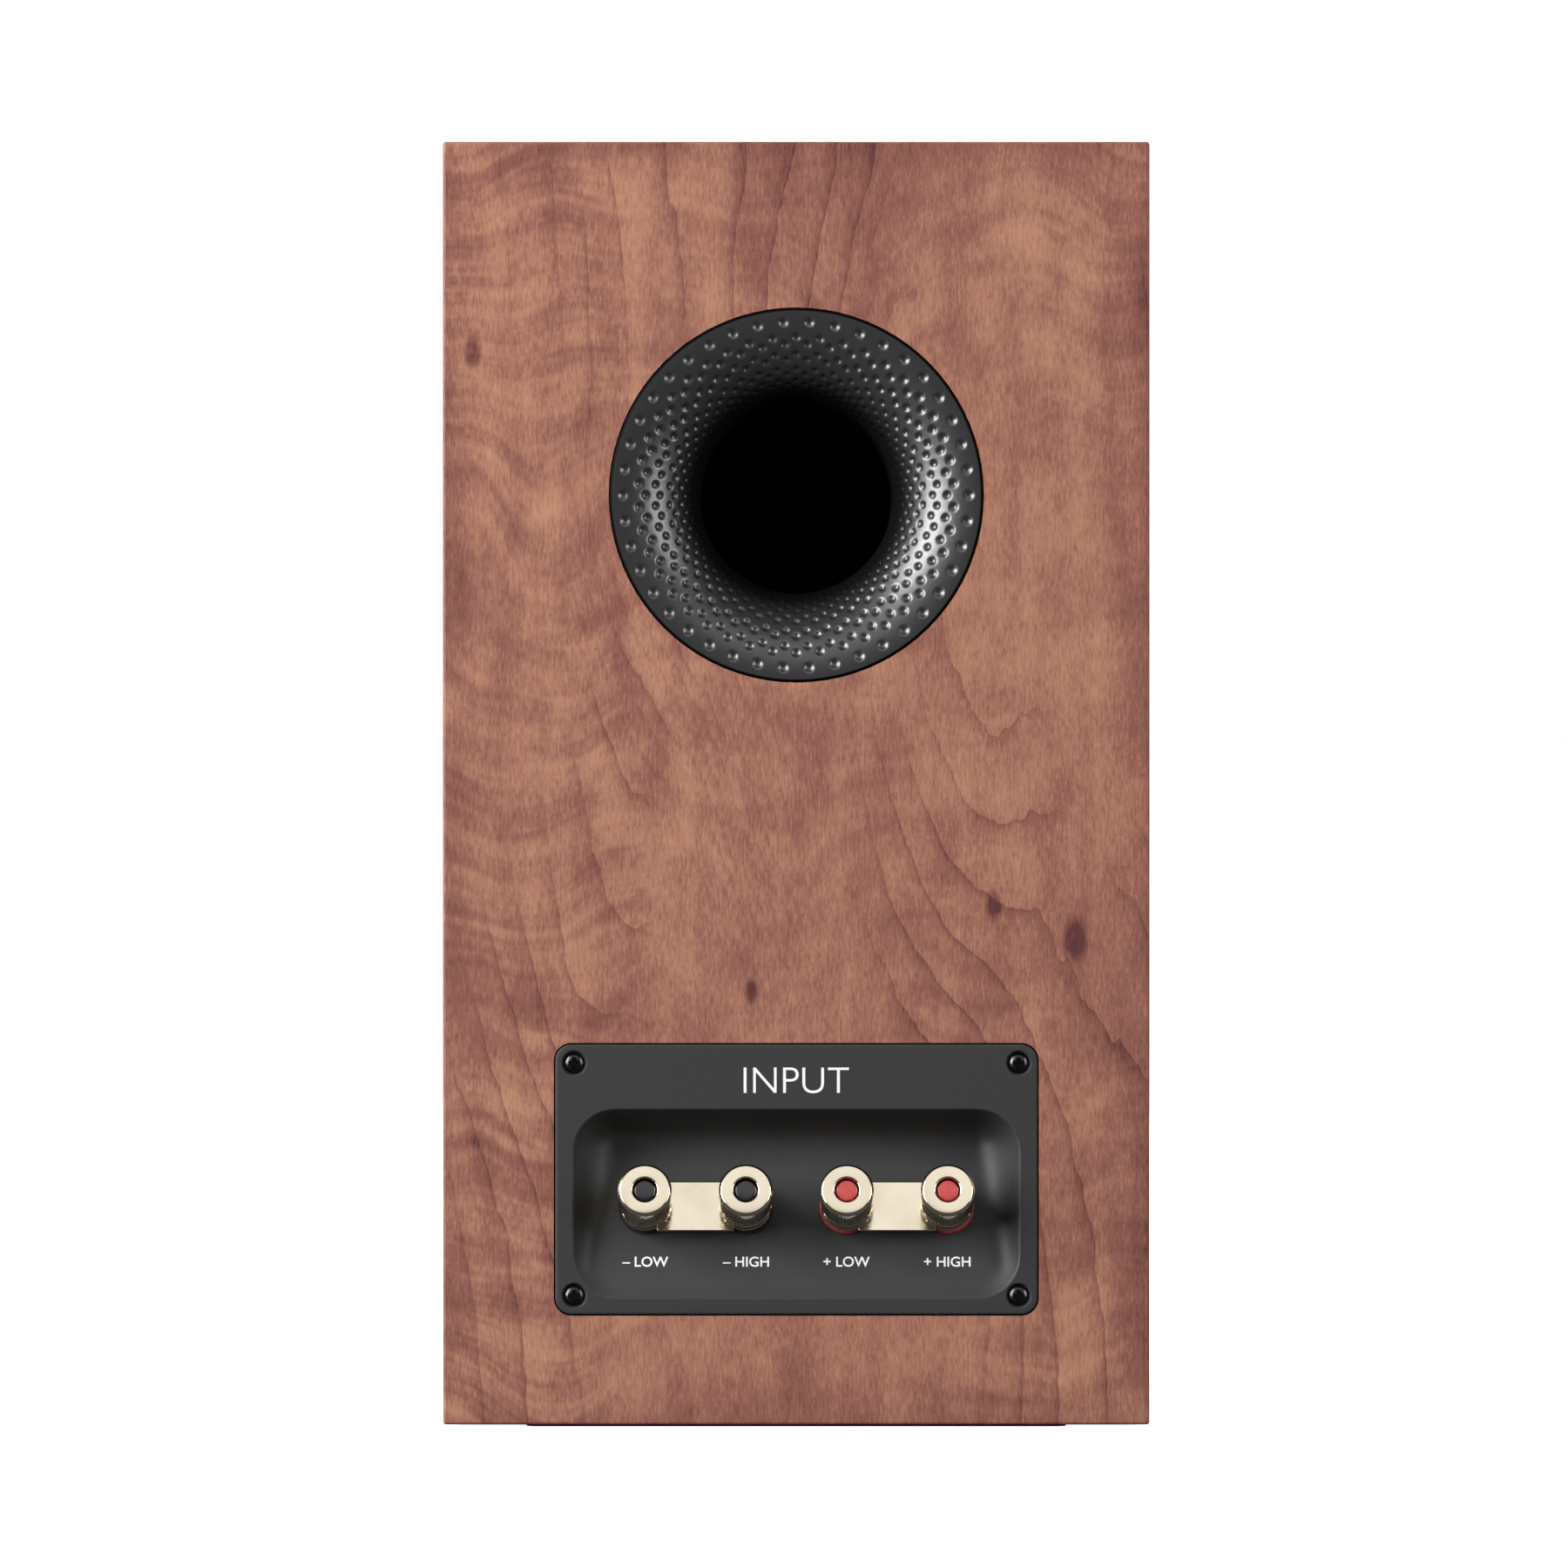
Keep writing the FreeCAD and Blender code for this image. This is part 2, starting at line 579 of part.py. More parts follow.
def board_standoffs():
    feet = []
    for x in (-50, 50):
        for y in STANDOFF_Y:
            foot = turned([(0, 0), (4, 0), (4, 6), (1.7, 6), (1.7, 7.6), (3.2, 7.6), (3.2, 9), (0, 9.6)])
            feet.append(placed(foot, Vector(x, y, INNER_BASE), Vector(0, 0, 1)))
    return feet


def coil(inner, outer, height, place):
    """A wound inductor: copper between its inner and outer radius, standing on the board."""
    ring = turned([(inner, 0), (outer, 0), (outer, height), (inner, height)])
    return placed(ring, Vector(*place, BOARD_TOP), Vector(0, 0, 1))


def capacitors():
    """Two film capacitors lying on the board, each a cylinder with its two wires bent down."""
    cans = []
    for y, radius, length in ((22.0, 9.0, 34.0), (46.0, 7.0, 30.0)):
        x0 = -48.0
        can = rod(radius, Vector(x0, y, BOARD_TOP + radius), Vector(1, 0, 0), length)
        wires = []
        for x in (x0 - 3, x0 + length + 3):
            wires.append(rod(0.55, Vector(x, y, BOARD_TOP), Vector(0, 0, 1), radius + 0.8))
            start = min(x, x0 if x < x0 else x0 + length - 1)
            wires.append(rod(0.4, Vector(start, y, BOARD_TOP + radius), Vector(1, 0, 0), 4))
        cans.append(can.fuse(wires).removeSplitter())
    return cans


def tray_leads():
    """Four leads from the solder tags down to the crossover board."""
    leads = []
    for x in POST_X:
        start = post_point(x, TAG_BACK) - UP_FLOOR * 11.5
        straight = start - POST_AXIS * 7
        route = [start, straight, (x, 114, 38), (x, 99, 36), (x, 88, 33), (x, 88, BOARD_TOP)]
        leads.append(lead([tuple(point) for point in route], 1.1))
    return leads


def woofer_leads():
    """A pair from the board to the lower rib of the woofer's basket."""
    leads = []
    for side in (-1, 1):
        x, along_rib, up_rib = 3 * side, 2.6 * side, 1.5 * side
        leads.append(lead([
            (1 + x, 22, BOARD_TOP), (1 + x, 22, 44), (4 + x, 6, 57), (9 + x, -18, 61),
            (14 + x, -44, 60), (20 + x, -68, 57), (27 + along_rib, -90, 55 + up_rib),
            (31 + along_rib, -105, 56 + up_rib), (27.3 + along_rib, -113.3, 64.6 + up_rib),
        ], 1.1))
    return leads


def tweeter_leads():
    """A pair from the board, up through the brace, to the back of the tweeter."""
    yoke_back = FRONT + TWEETER_YOKE_BACK
    leads = []
    for x in (-2, 2):
        leads.append(lead([
            (46 + x, 60, BOARD_TOP), (46 + x, 60, 48), (49 + x, 61, 78), (51 + x, 56, 111),
            (50 + x, 46, 144), (47 + x, 34, 177), (42 + x, 17, 209), (34 + x, -8, 236),
            (24 + x, -38, 254), (13 + x, -70, 264), (5 + x, -102, 269), (5 + x, yoke_back, 269),
        ], 0.9))
    return leads


# ---------------------------------------------------------------- woofer
def behind_baffle(shape, z):
    """Local zero on the baffle's face, local Z into the cabinet."""
    return placed(shape, Vector(0, FRONT, z), INWARD)


def screw_holes(places, middle_z, flange_front):
    """Through holes and sunk seats in a drive unit's flange, for its cabinet screws."""
    tools = []
    for x, z, _ in places:
        start = Vector(x, middle_z - z, -3)
        tools.append(rod(SCREW_SHANK + 0.2, start, Vector(0, 0, 1), 10))
        tools.append(rod(3.7, start, Vector(0, 0, 1), 3 + flange_front + HEAD_DEPTH))
    return tools


def woofer_frame():
    edge = WOOFER_FLANGE_RADIUS
    body = turned([
        (edge, WOOFER_FLANGE_BACK), (edge, -0.5), (85.7, -1.2, edge - 1.0, WOOFER_FLANGE_FRONT),
        (74.6, WOOFER_FLANGE_FRONT), (74.2, -1.1), (74.2, 3.7), (70.0, 3.7), (70.0, 7.0), (53.0, 35.5),
        (46.0, 35.5), (46.0, 38.5), (49.5, 40.0), (46.5, 46.0), (30.0, 46.0), (30.0, 49.0), (50.0, 49.0),
        (52.5, 46.0), (73.4, 8.0), (76.5, 6.0), (76.5, WOOFER_FLANGE_BACK),
    ])
    windows = []
    for k in range(6):
        wedge = Part.makeCylinder(90, 22, Vector(0, 0, 11), Vector(0, 0, 1), 38)
        wedge.rotate(Vector(0, 0, 0), Vector(0, 0, 1), 60 * k + 11)
        windows.append(wedge)
    body = body.cut(windows)
    places = driver_screw_places()[:8]
    return body.cut(screw_holes(places, WOOFER_Z, WOOFER_FLANGE_FRONT))


def woofer_trim_ring():
    return turned([(70.6, 2.95), (73.9, 2.95), (73.9, 0.6), (73.4, 0.1), (71.1, 0.1), (70.6, 0.6)])


def woofer_surround():
    """Half-roll rubber surround: an inner lip on the cone, the roll, and an outer lip on the frame."""
    level, thick, inner, outer = 3.6, 0.6, 59.6, 69.6
    centre = ((inner + outer) / 2, level)
    radius = (outer - inner) / 2
    crest = (centre[0], level - radius)
    crest_under = (centre[0], level - radius + thick)
    front = level - thick
    rim = math.sqrt(radius**2 - thick**2)
    return turned([
        (56.8, level), (56.8, front), (centre[0] - rim, front), (*crest, centre[0] + rim, front),
        (73.6, front), (73.6, level), (centre[0] + radius - thick, level),
        (*crest_under, centre[0] - radius + thick, level),
    ])


def woofer_cone():
    return turned([
        (59.4, 3.75), (59.4, 4.55), (57.2, 4.75), (38.5, 17.6, 17.4, 27.6), (17.4, 31.0), (16.35, 31.0),
        (16.35, 26.8), (37.9, 16.4, 56.9, 3.75),
    ])


def woofer_dust_cap():
    front, back = cap_middle(14.2, (20.6, 23.9)), cap_middle(15.0, (19.9, 24.6))
    return turned([(0, 14.2), (*front, 20.6, 23.9), (20.6, 24.6), (19.9, 24.6), (*back, 0, 15.0)])


def woofer_voice_coil():
    return turned([
        (15.95, 25.5), (16.27, 25.5), (16.27, 45.0), (16.85, 45.0), (16.85, 57.0), (15.95, 57.0)])


def woofer_spider():
    """Corrugated suspension disc between the voice coil and the frame's ledge."""
    inner, flat, level, ridge, thick = 16.6, 45.5, 35.4, 1.4, 0.5
    waves = 10
    step = (flat - inner) / waves
    tops = [(inner + step * k, level - (ridge if k % 2 else 0)) for k in range(waves + 1)]
    tops.append((51.5, level))
    return turned([(r, a - thick) for r, a in tops] + [(r, a) for r, a in reversed(tops)])


def woofer_top_plate():
    return turned([(17.4, 49.1), (45.0, 49.1), (45.0, 55.0), (17.4, 55.0)])


def woofer_magnet():
    return turned([(24.0, 55.1), (49.0, 55.1), (50.0, 56.1), (50.0, 70.1), (49.0, 71.1), (24.0, 71.1)])


def woofer_yoke():
    return turned([
        (5.0, 48.0), (14.9, 48.0), (15.4, 48.5), (15.4, 71.2), (46.0, 71.2), (46.0, 76.2), (45.0, 77.2),
        (5.0, 77.2),
    ])


# ---------------------------------------------------------------- tweeter
def tweeter_faceplate():
    edge = TWEETER_FLANGE_RADIUS
    body = turned([
        (edge, TWEETER_FLANGE_BACK), (edge, -0.4), (51.8, -1.0, edge - 0.8, TWEETER_FLANGE_FRONT),
        (36.0, TWEETER_FLANGE_FRONT), (25.0, 0.3, 16.6, 4.0), (16.6, 5.5), (27.4, 5.5), (27.4, 12.0),
        (31.0, 12.0), (31.0, 3.0),
    ])
    places = driver_screw_places()[8:]
    return body.cut(screw_holes(places, TWEETER_Z, TWEETER_FLANGE_FRONT))


def tweeter_mesh():
    """Domed guard in front of the diaphragm, held in the faceplate's throat."""
    front, back = cap_middle(-2.5, (16.2, 3.0)), cap_middle(-2.0, (15.9, 3.6))
    rim = [(16.5, 3.0), (16.5, 3.6), (15.9, 3.6)]
    return turned([(0, -2.5), (*front, 16.2, 3.0)] + rim + [(*back, 0, -2.0)])


def tweeter_dome():
    front, back = cap_middle(-0.3, (12.75, 4.7)), cap_middle(0.1, (12.4, 4.9))
    rim = [(12.75, 5.6), (12.4, 5.6), (12.4, 4.9)]
    return turned([(0, -0.3), (*front, 12.75, 4.7)] + rim + [(*back, 0, 0.1)])


def tweeter_surround():
    return turned([
        (13.1, 5.95), (13.1, 5.6), (14.35, 4.5, 15.6, 5.6), (17.6, 5.6), (17.6, 5.95), (15.3, 5.95),
        (14.35, 4.95, 13.4, 5.95),
    ])


def tweeter_voice_coil():
    return turned([(12.45, 5.7), (12.85, 5.7), (12.85, 10.8), (12.45, 10.8)])


def tweeter_top_plate():
    return turned([(13.4, 7.0), (27.4, 7.0), (27.4, 9.6), (13.4, 9.6)])


def tweeter_magnet():
    """Neodymium disc with its pole cap."""
    return turned([(0, 7.2), (11.6, 7.2), (11.9, 7.5), (11.9, 15.0), (0, 15.0)])


def tweeter_yoke():
    back = TWEETER_YOKE_BACK
    return turned([
        (24.0, 9.7), (27.0, 9.7), (27.0, back - 1), (26.0, back), (0, back), (0, back - 5),
        (24.0, back - 5),
    ])


def driver_screws():
    screws = []
    for x, z, seat in driver_screw_places():
        screw = cross_head_screw(3.4, 1.9, SCREW_SHANK, 13)
        screws.append(placed(screw, Vector(x, FRONT + seat + HEAD_DEPTH, z), Vector(0, -1, 0)))
    return screws


# ---------------------------------------------------------------- every node
def build():
    os.makedirs("parts", exist_ok=True)
    envelope = cabinet_envelope()
    export("side_panel_left", side_panel(-1, envelope))
    export("side_panel_right", side_panel(1, envelope))
    export("top_panel", flat_panel(TOP, INNER_TOP, envelope))
    export("bottom_panel", flat_panel(BASE, INNER_BASE, envelope))
    export("rear_panel", rear_panel(envelope))
    export("front_baffle", front_baffle())
    export("shelf_brace", shelf_brace())
    export("foot_strips", *foot_strips())
    export("wadding", wadding())

    port_place, port_inward = Vector(0, REAR, PORT_Z), Vector(0, -1, 0)
    export("port_flare", placed(port_flare(), port_place, port_inward))
    export("port_tube", placed(port_tube(), port_place, port_inward))

    export("terminal_tray", terminal_tray())
    export("tray_gasket", tray_gasket())
    export("tray_screws", *tray_screws())

    export("insulators_black", *[on_post(insulator(), x) for x in POST_X[:2]])
    export("insulators_red", *[on_post(insulator(), x) for x in POST_X[2:]])
    export("post_shafts", *[on_post(shaft(), x) for x in POST_X])
    export("post_nuts", *[on_post(post_nut(), x) for x in POST_X])
    export("solder_tags", *[on_floor(solder_tag(), x) for x in POST_X])
    for number, x in enumerate(POST_X, 1):
        export("clamp_washer_%d" % number, on_post(washer(), x))
        export("knob_%d" % number, on_post(knob(), x))
        export("plug_%d" % number, on_post(blanking_plug(), x))
    export("link_plate_negative", link_plate(POST_X[0], POST_X[1]))
    export("link_plate_positive", link_plate(POST_X[2], POST_X[3]))

    export("crossover_board", crossover_board())
    export("board_standoffs", *board_standoffs())
    export("bass_coil", coil(11, 21, 24, (26, 32)))
    export("treble_coil", coil(7, 14, 16, (30, 76)))
    export("capacitors", *capacitors())
    export("tray_leads", *tray_leads())
    export("woofer_leads", *woofer_leads())
    export("tweeter_leads", *tweeter_leads())

    woofer = {
        "woofer_frame": woofer_frame, "woofer_trim_ring": woofer_trim_ring,
        "woofer_surround": woofer_surround, "woofer_cone": woofer_cone, "woofer_dust_cap": woofer_dust_cap,
        "woofer_voice_coil": woofer_voice_coil, "woofer_spider": woofer_spider,
        "woofer_top_plate": woofer_top_plate, "woofer_magnet": woofer_magnet, "woofer_yoke": woofer_yoke,
    }
    for name, make in woofer.items():
        export(name, behind_baffle(make(), WOOFER_Z))
    tweeter = {
        "tweeter_faceplate": tweeter_faceplate, "tweeter_mesh": tweeter_mesh, "tweeter_dome": tweeter_dome,
        "tweeter_surround": tweeter_surround, "tweeter_voice_coil": tweeter_voice_coil,
        "tweeter_top_plate": tweeter_top_plate, "tweeter_magnet": tweeter_magnet,
        "tweeter_yoke": tweeter_yoke,
    }
    for name, make in tweeter.items():
        export(name, behind_baffle(make(), TWEETER_Z))
    export("driver_screws", *driver_screws())


build()
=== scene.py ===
import json
import math

import bmesh
import bpy
import numpy as np
from mathutils import Matrix, Vector


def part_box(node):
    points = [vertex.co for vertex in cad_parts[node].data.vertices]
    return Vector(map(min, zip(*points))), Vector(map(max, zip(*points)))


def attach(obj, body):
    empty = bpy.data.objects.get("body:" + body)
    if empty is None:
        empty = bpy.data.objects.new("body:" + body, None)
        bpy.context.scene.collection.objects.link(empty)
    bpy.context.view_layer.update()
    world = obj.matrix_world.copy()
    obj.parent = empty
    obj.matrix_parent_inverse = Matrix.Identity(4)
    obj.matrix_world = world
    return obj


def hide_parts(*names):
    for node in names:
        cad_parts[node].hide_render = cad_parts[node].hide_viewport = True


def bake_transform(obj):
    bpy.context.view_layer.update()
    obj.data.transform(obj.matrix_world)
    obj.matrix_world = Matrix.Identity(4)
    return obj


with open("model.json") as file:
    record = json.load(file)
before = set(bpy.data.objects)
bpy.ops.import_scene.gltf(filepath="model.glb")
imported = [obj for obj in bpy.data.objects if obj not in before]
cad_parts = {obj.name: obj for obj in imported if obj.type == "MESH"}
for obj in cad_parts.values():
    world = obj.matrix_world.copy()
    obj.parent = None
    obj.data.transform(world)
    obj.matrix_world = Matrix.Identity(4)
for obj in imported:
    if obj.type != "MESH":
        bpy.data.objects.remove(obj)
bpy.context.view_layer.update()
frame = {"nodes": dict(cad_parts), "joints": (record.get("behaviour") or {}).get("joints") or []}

# Camera: level and far off, straight behind the speaker, on a long lens.
MM = 0.001
CAMERA_AWAY = 3.1
WIDTH_IN_VIEW = 0.4216  # metres seen across, at the cabinet's rear face
SENSOR = 36.0
CAMERA_X, CAMERA_HEIGHT = 0.0033, 0.1738
rear_low, rear_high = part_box("rear_panel")
REAR = rear_high.y
camera_data = bpy.data.cameras.new("camera")
camera_data.sensor_width = SENSOR
camera_data.lens = SENSOR * CAMERA_AWAY / WIDTH_IN_VIEW
camera = bpy.data.objects.new("camera", camera_data)
camera.location = (CAMERA_X, REAR + CAMERA_AWAY, CAMERA_HEIGHT)
camera.rotation_euler = (math.radians(90), 0, math.radians(180))
bpy.context.scene.collection.objects.link(camera)
bpy.context.scene.camera = camera


# Studio: a white surround, and at each end of the speaker two side softboxes and a high one.
# The floor is pale board, bright to the camera and dull in what it throws back. The materials'
# small helpers start here, since the floor needs the first ones.
def linear(hex_colour):
    """An sRGB hex colour as linear RGBA."""
    parts = [int(hex_colour[k:k + 2], 16) / 255 for k in (1, 3, 5)]
    return tuple(c / 12.92 if c <= 0.04045 else ((c + 0.055) / 1.055) ** 2.4 for c in parts) + (1.0,)


def add(tree, kind, inputs=None, **settings):
    """Adds a node: settings are its properties; an input is linked if it is a socket, else set."""
    made = tree.nodes.new(kind)
    for key, value in settings.items():
        setattr(made, key, value)
    for key, value in (inputs or {}).items():
        if isinstance(value, bpy.types.NodeSocket):
            tree.links.new(value, made.inputs[key])
        else:
            made.inputs[key].default_value = value
    return made


def blank_material(name):
    made = bpy.data.materials.new(name)
    made.use_nodes = True
    return made, made.node_tree, made.node_tree.nodes["Principled BSDF"]


def mesh_object(name, mesh, *materials):
    made = bpy.data.objects.new(name, mesh)
    bpy.context.scene.collection.objects.link(made)
    for one in materials:
        mesh.materials.append(one)
    return made


board, board_tree, board_bsdf = blank_material("pale floor board")
spots = add(board_tree, "ShaderNodeTexNoise", {"Scale": 6.0}).outputs["Fac"]
shades = {0: spots, 6: linear("#f2f2f2"), 7: linear("#ffffff")}
tone = add(board_tree, "ShaderNodeMix", shades, data_type="RGBA")
board_tree.links.new(tone.outputs[2], board_bsdf.inputs["Base Color"])
board_bsdf.inputs["Roughness"].default_value = 1.0
board_bsdf.inputs["Specular IOR Level"].default_value = 0.0
board_bsdf.inputs["Emission Color"].default_value = (1, 1, 1, 1)
board_bsdf.inputs["Emission Strength"].default_value = 1.0
# seen directly the board is brightly lit; what it throws back up at the speaker is kept low
seen = add(board_tree, "ShaderNodeLightPath").outputs["Is Camera Ray"]
dull = add(board_tree, "ShaderNodeBsdfDiffuse", {"Color": linear("#4a4a4a")}).outputs[0]
either = add(board_tree, "ShaderNodeMixShader", {0: seen, 1: dull, 2: board_bsdf.outputs[0]})
board_tree.links.new(either.outputs[0], board_tree.nodes["Material Output"].inputs["Surface"])
FLOOR_HALF = 40.0
floor_mesh = bpy.data.meshes.new("floor")
corners = [(x * FLOOR_HALF, y * FLOOR_HALF, 0) for x, y in ((-1, -1), (1, -1), (1, 1), (-1, 1))]
floor_mesh.from_pydata(corners, [], [(0, 1, 2, 3)])
mesh_object("floor", floor_mesh, board)

sky = bpy.data.worlds.new("studio")
sky.use_nodes = True
sky_tree = sky.node_tree
seen = add(sky_tree, "ShaderNodeLightPath").outputs["Is Camera Ray"]
level = add(sky_tree, "ShaderNodeMapRange", {"Value": seen, "To Min": 0.06, "To Max": 1.0}).outputs["Result"]
sky_tree.links.new(level, sky_tree.nodes["Background"].inputs["Strength"])
sky_tree.nodes["Background"].inputs["Color"].default_value = (1, 1, 1, 1)
bpy.context.scene.world = sky
bpy.context.scene.view_settings.view_transform = "Standard"


SPEAKER_MIDDLE = 0.17


def softbox(name, bearing, height, away, wide, tall, watts):
    """A soft panel aimed at the speaker's middle; bearing is degrees round from straight behind."""
    data = bpy.data.lights.new(name, "AREA")
    data.shape = "RECTANGLE"
    data.size, data.size_y, data.energy = wide, tall, watts
    lamp = bpy.data.objects.new(name, data)
    a = math.radians(bearing)
    lamp.location = (math.sin(a) * away, math.cos(a) * away, height)
    aim = Vector((0, 0, SPEAKER_MIDDLE)) - lamp.location
    lamp.rotation_euler = aim.to_track_quat("-Z", "Y").to_euler()
    lamp.visible_camera = False
    bpy.context.scene.collection.objects.link(lamp)


softbox("rear left box", 58, 0.7, 1.9, 1.0, 1.6, 78)
softbox("rear right box", -57, 0.35, 1.9, 0.6, 1.6, 24)
softbox("rear high box", 2, 1.72, 1.9, 2.6, 1.3, 12)
softbox("front left box", 116, 1.4, 2.2, 0.9, 1.1, 27)
softbox("front right box", -108, 1.3, 2.2, 0.9, 1.1, 44)
softbox("front high box", 178, 1.6, 2.1, 1.8, 0.9, 46)

# Cabinet: fibreboard wrapped in a cherry-print vinyl foil, folded round the corners, satin.
# Its print has long soft grain, drifting veins, cross mottling and a few small knots, and is darkened near the
# cabinet's edges as painted shade; where the rear board is cut for the port and the terminals, its cut edges
# are painted near-black as painted shade in the narrow gaps.
CABINET_HALF = rear_high.x
CABINET_MIDDLE = (rear_low.z + rear_high.z) / 2
CABINET_HALF_HEIGHT = (rear_high.z - rear_low.z) / 2
FOIL_FOLD = 0.001
PRINT_DARKNESS = 0.455
PRINT_TONES = ((0.0, "#b6886d"), (0.3, "#a3755f"), (0.55, "#885a4e"), (0.8, "#70463e"), (1.0, "#573233"))


def finish(name, dark, light, grain_mm, roughness, metallic=0.0, bump_mm=0.0, stretch=(1, 1, 1)):
    """A material that drifts between two tones and in gloss over a grain of real size."""
    made, tree, bsdf = blank_material(name)
    place = add(tree, "ShaderNodeTexCoord").outputs["Object"]
    place = add(tree, "ShaderNodeMapping", {"Vector": place, "Scale": stretch}).outputs["Vector"]
    noise = add(tree, "ShaderNodeTexNoise", {"Vector": place, "Scale": 1000 / grain_mm, "Detail": 3.0})
    grain = add(tree, "ShaderNodeMapRange", {"Value": noise.outputs["Fac"], "From Min": 0.3, "From Max": 0.7})
    grain = grain.outputs["Result"]
    colour = add(tree, "ShaderNodeMix", {0: grain, 6: linear(dark), 7: linear(light)}, data_type="RGBA")
    tree.links.new(colour.outputs[2], bsdf.inputs["Base Color"])
    gloss = {"Value": grain, "To Min": roughness + 0.05, "To Max": roughness - 0.03}
    tree.links.new(add(tree, "ShaderNodeMapRange", gloss).outputs["Result"], bsdf.inputs["Roughness"])
    if bump_mm:
        relief = add(tree, "ShaderNodeBump", {"Height": grain, "Distance": bump_mm * MM, "Strength": 1.0})
        tree.links.new(relief.outputs["Normal"], bsdf.inputs["Normal"])
    bsdf.inputs["Metallic"].default_value = metallic
    return made


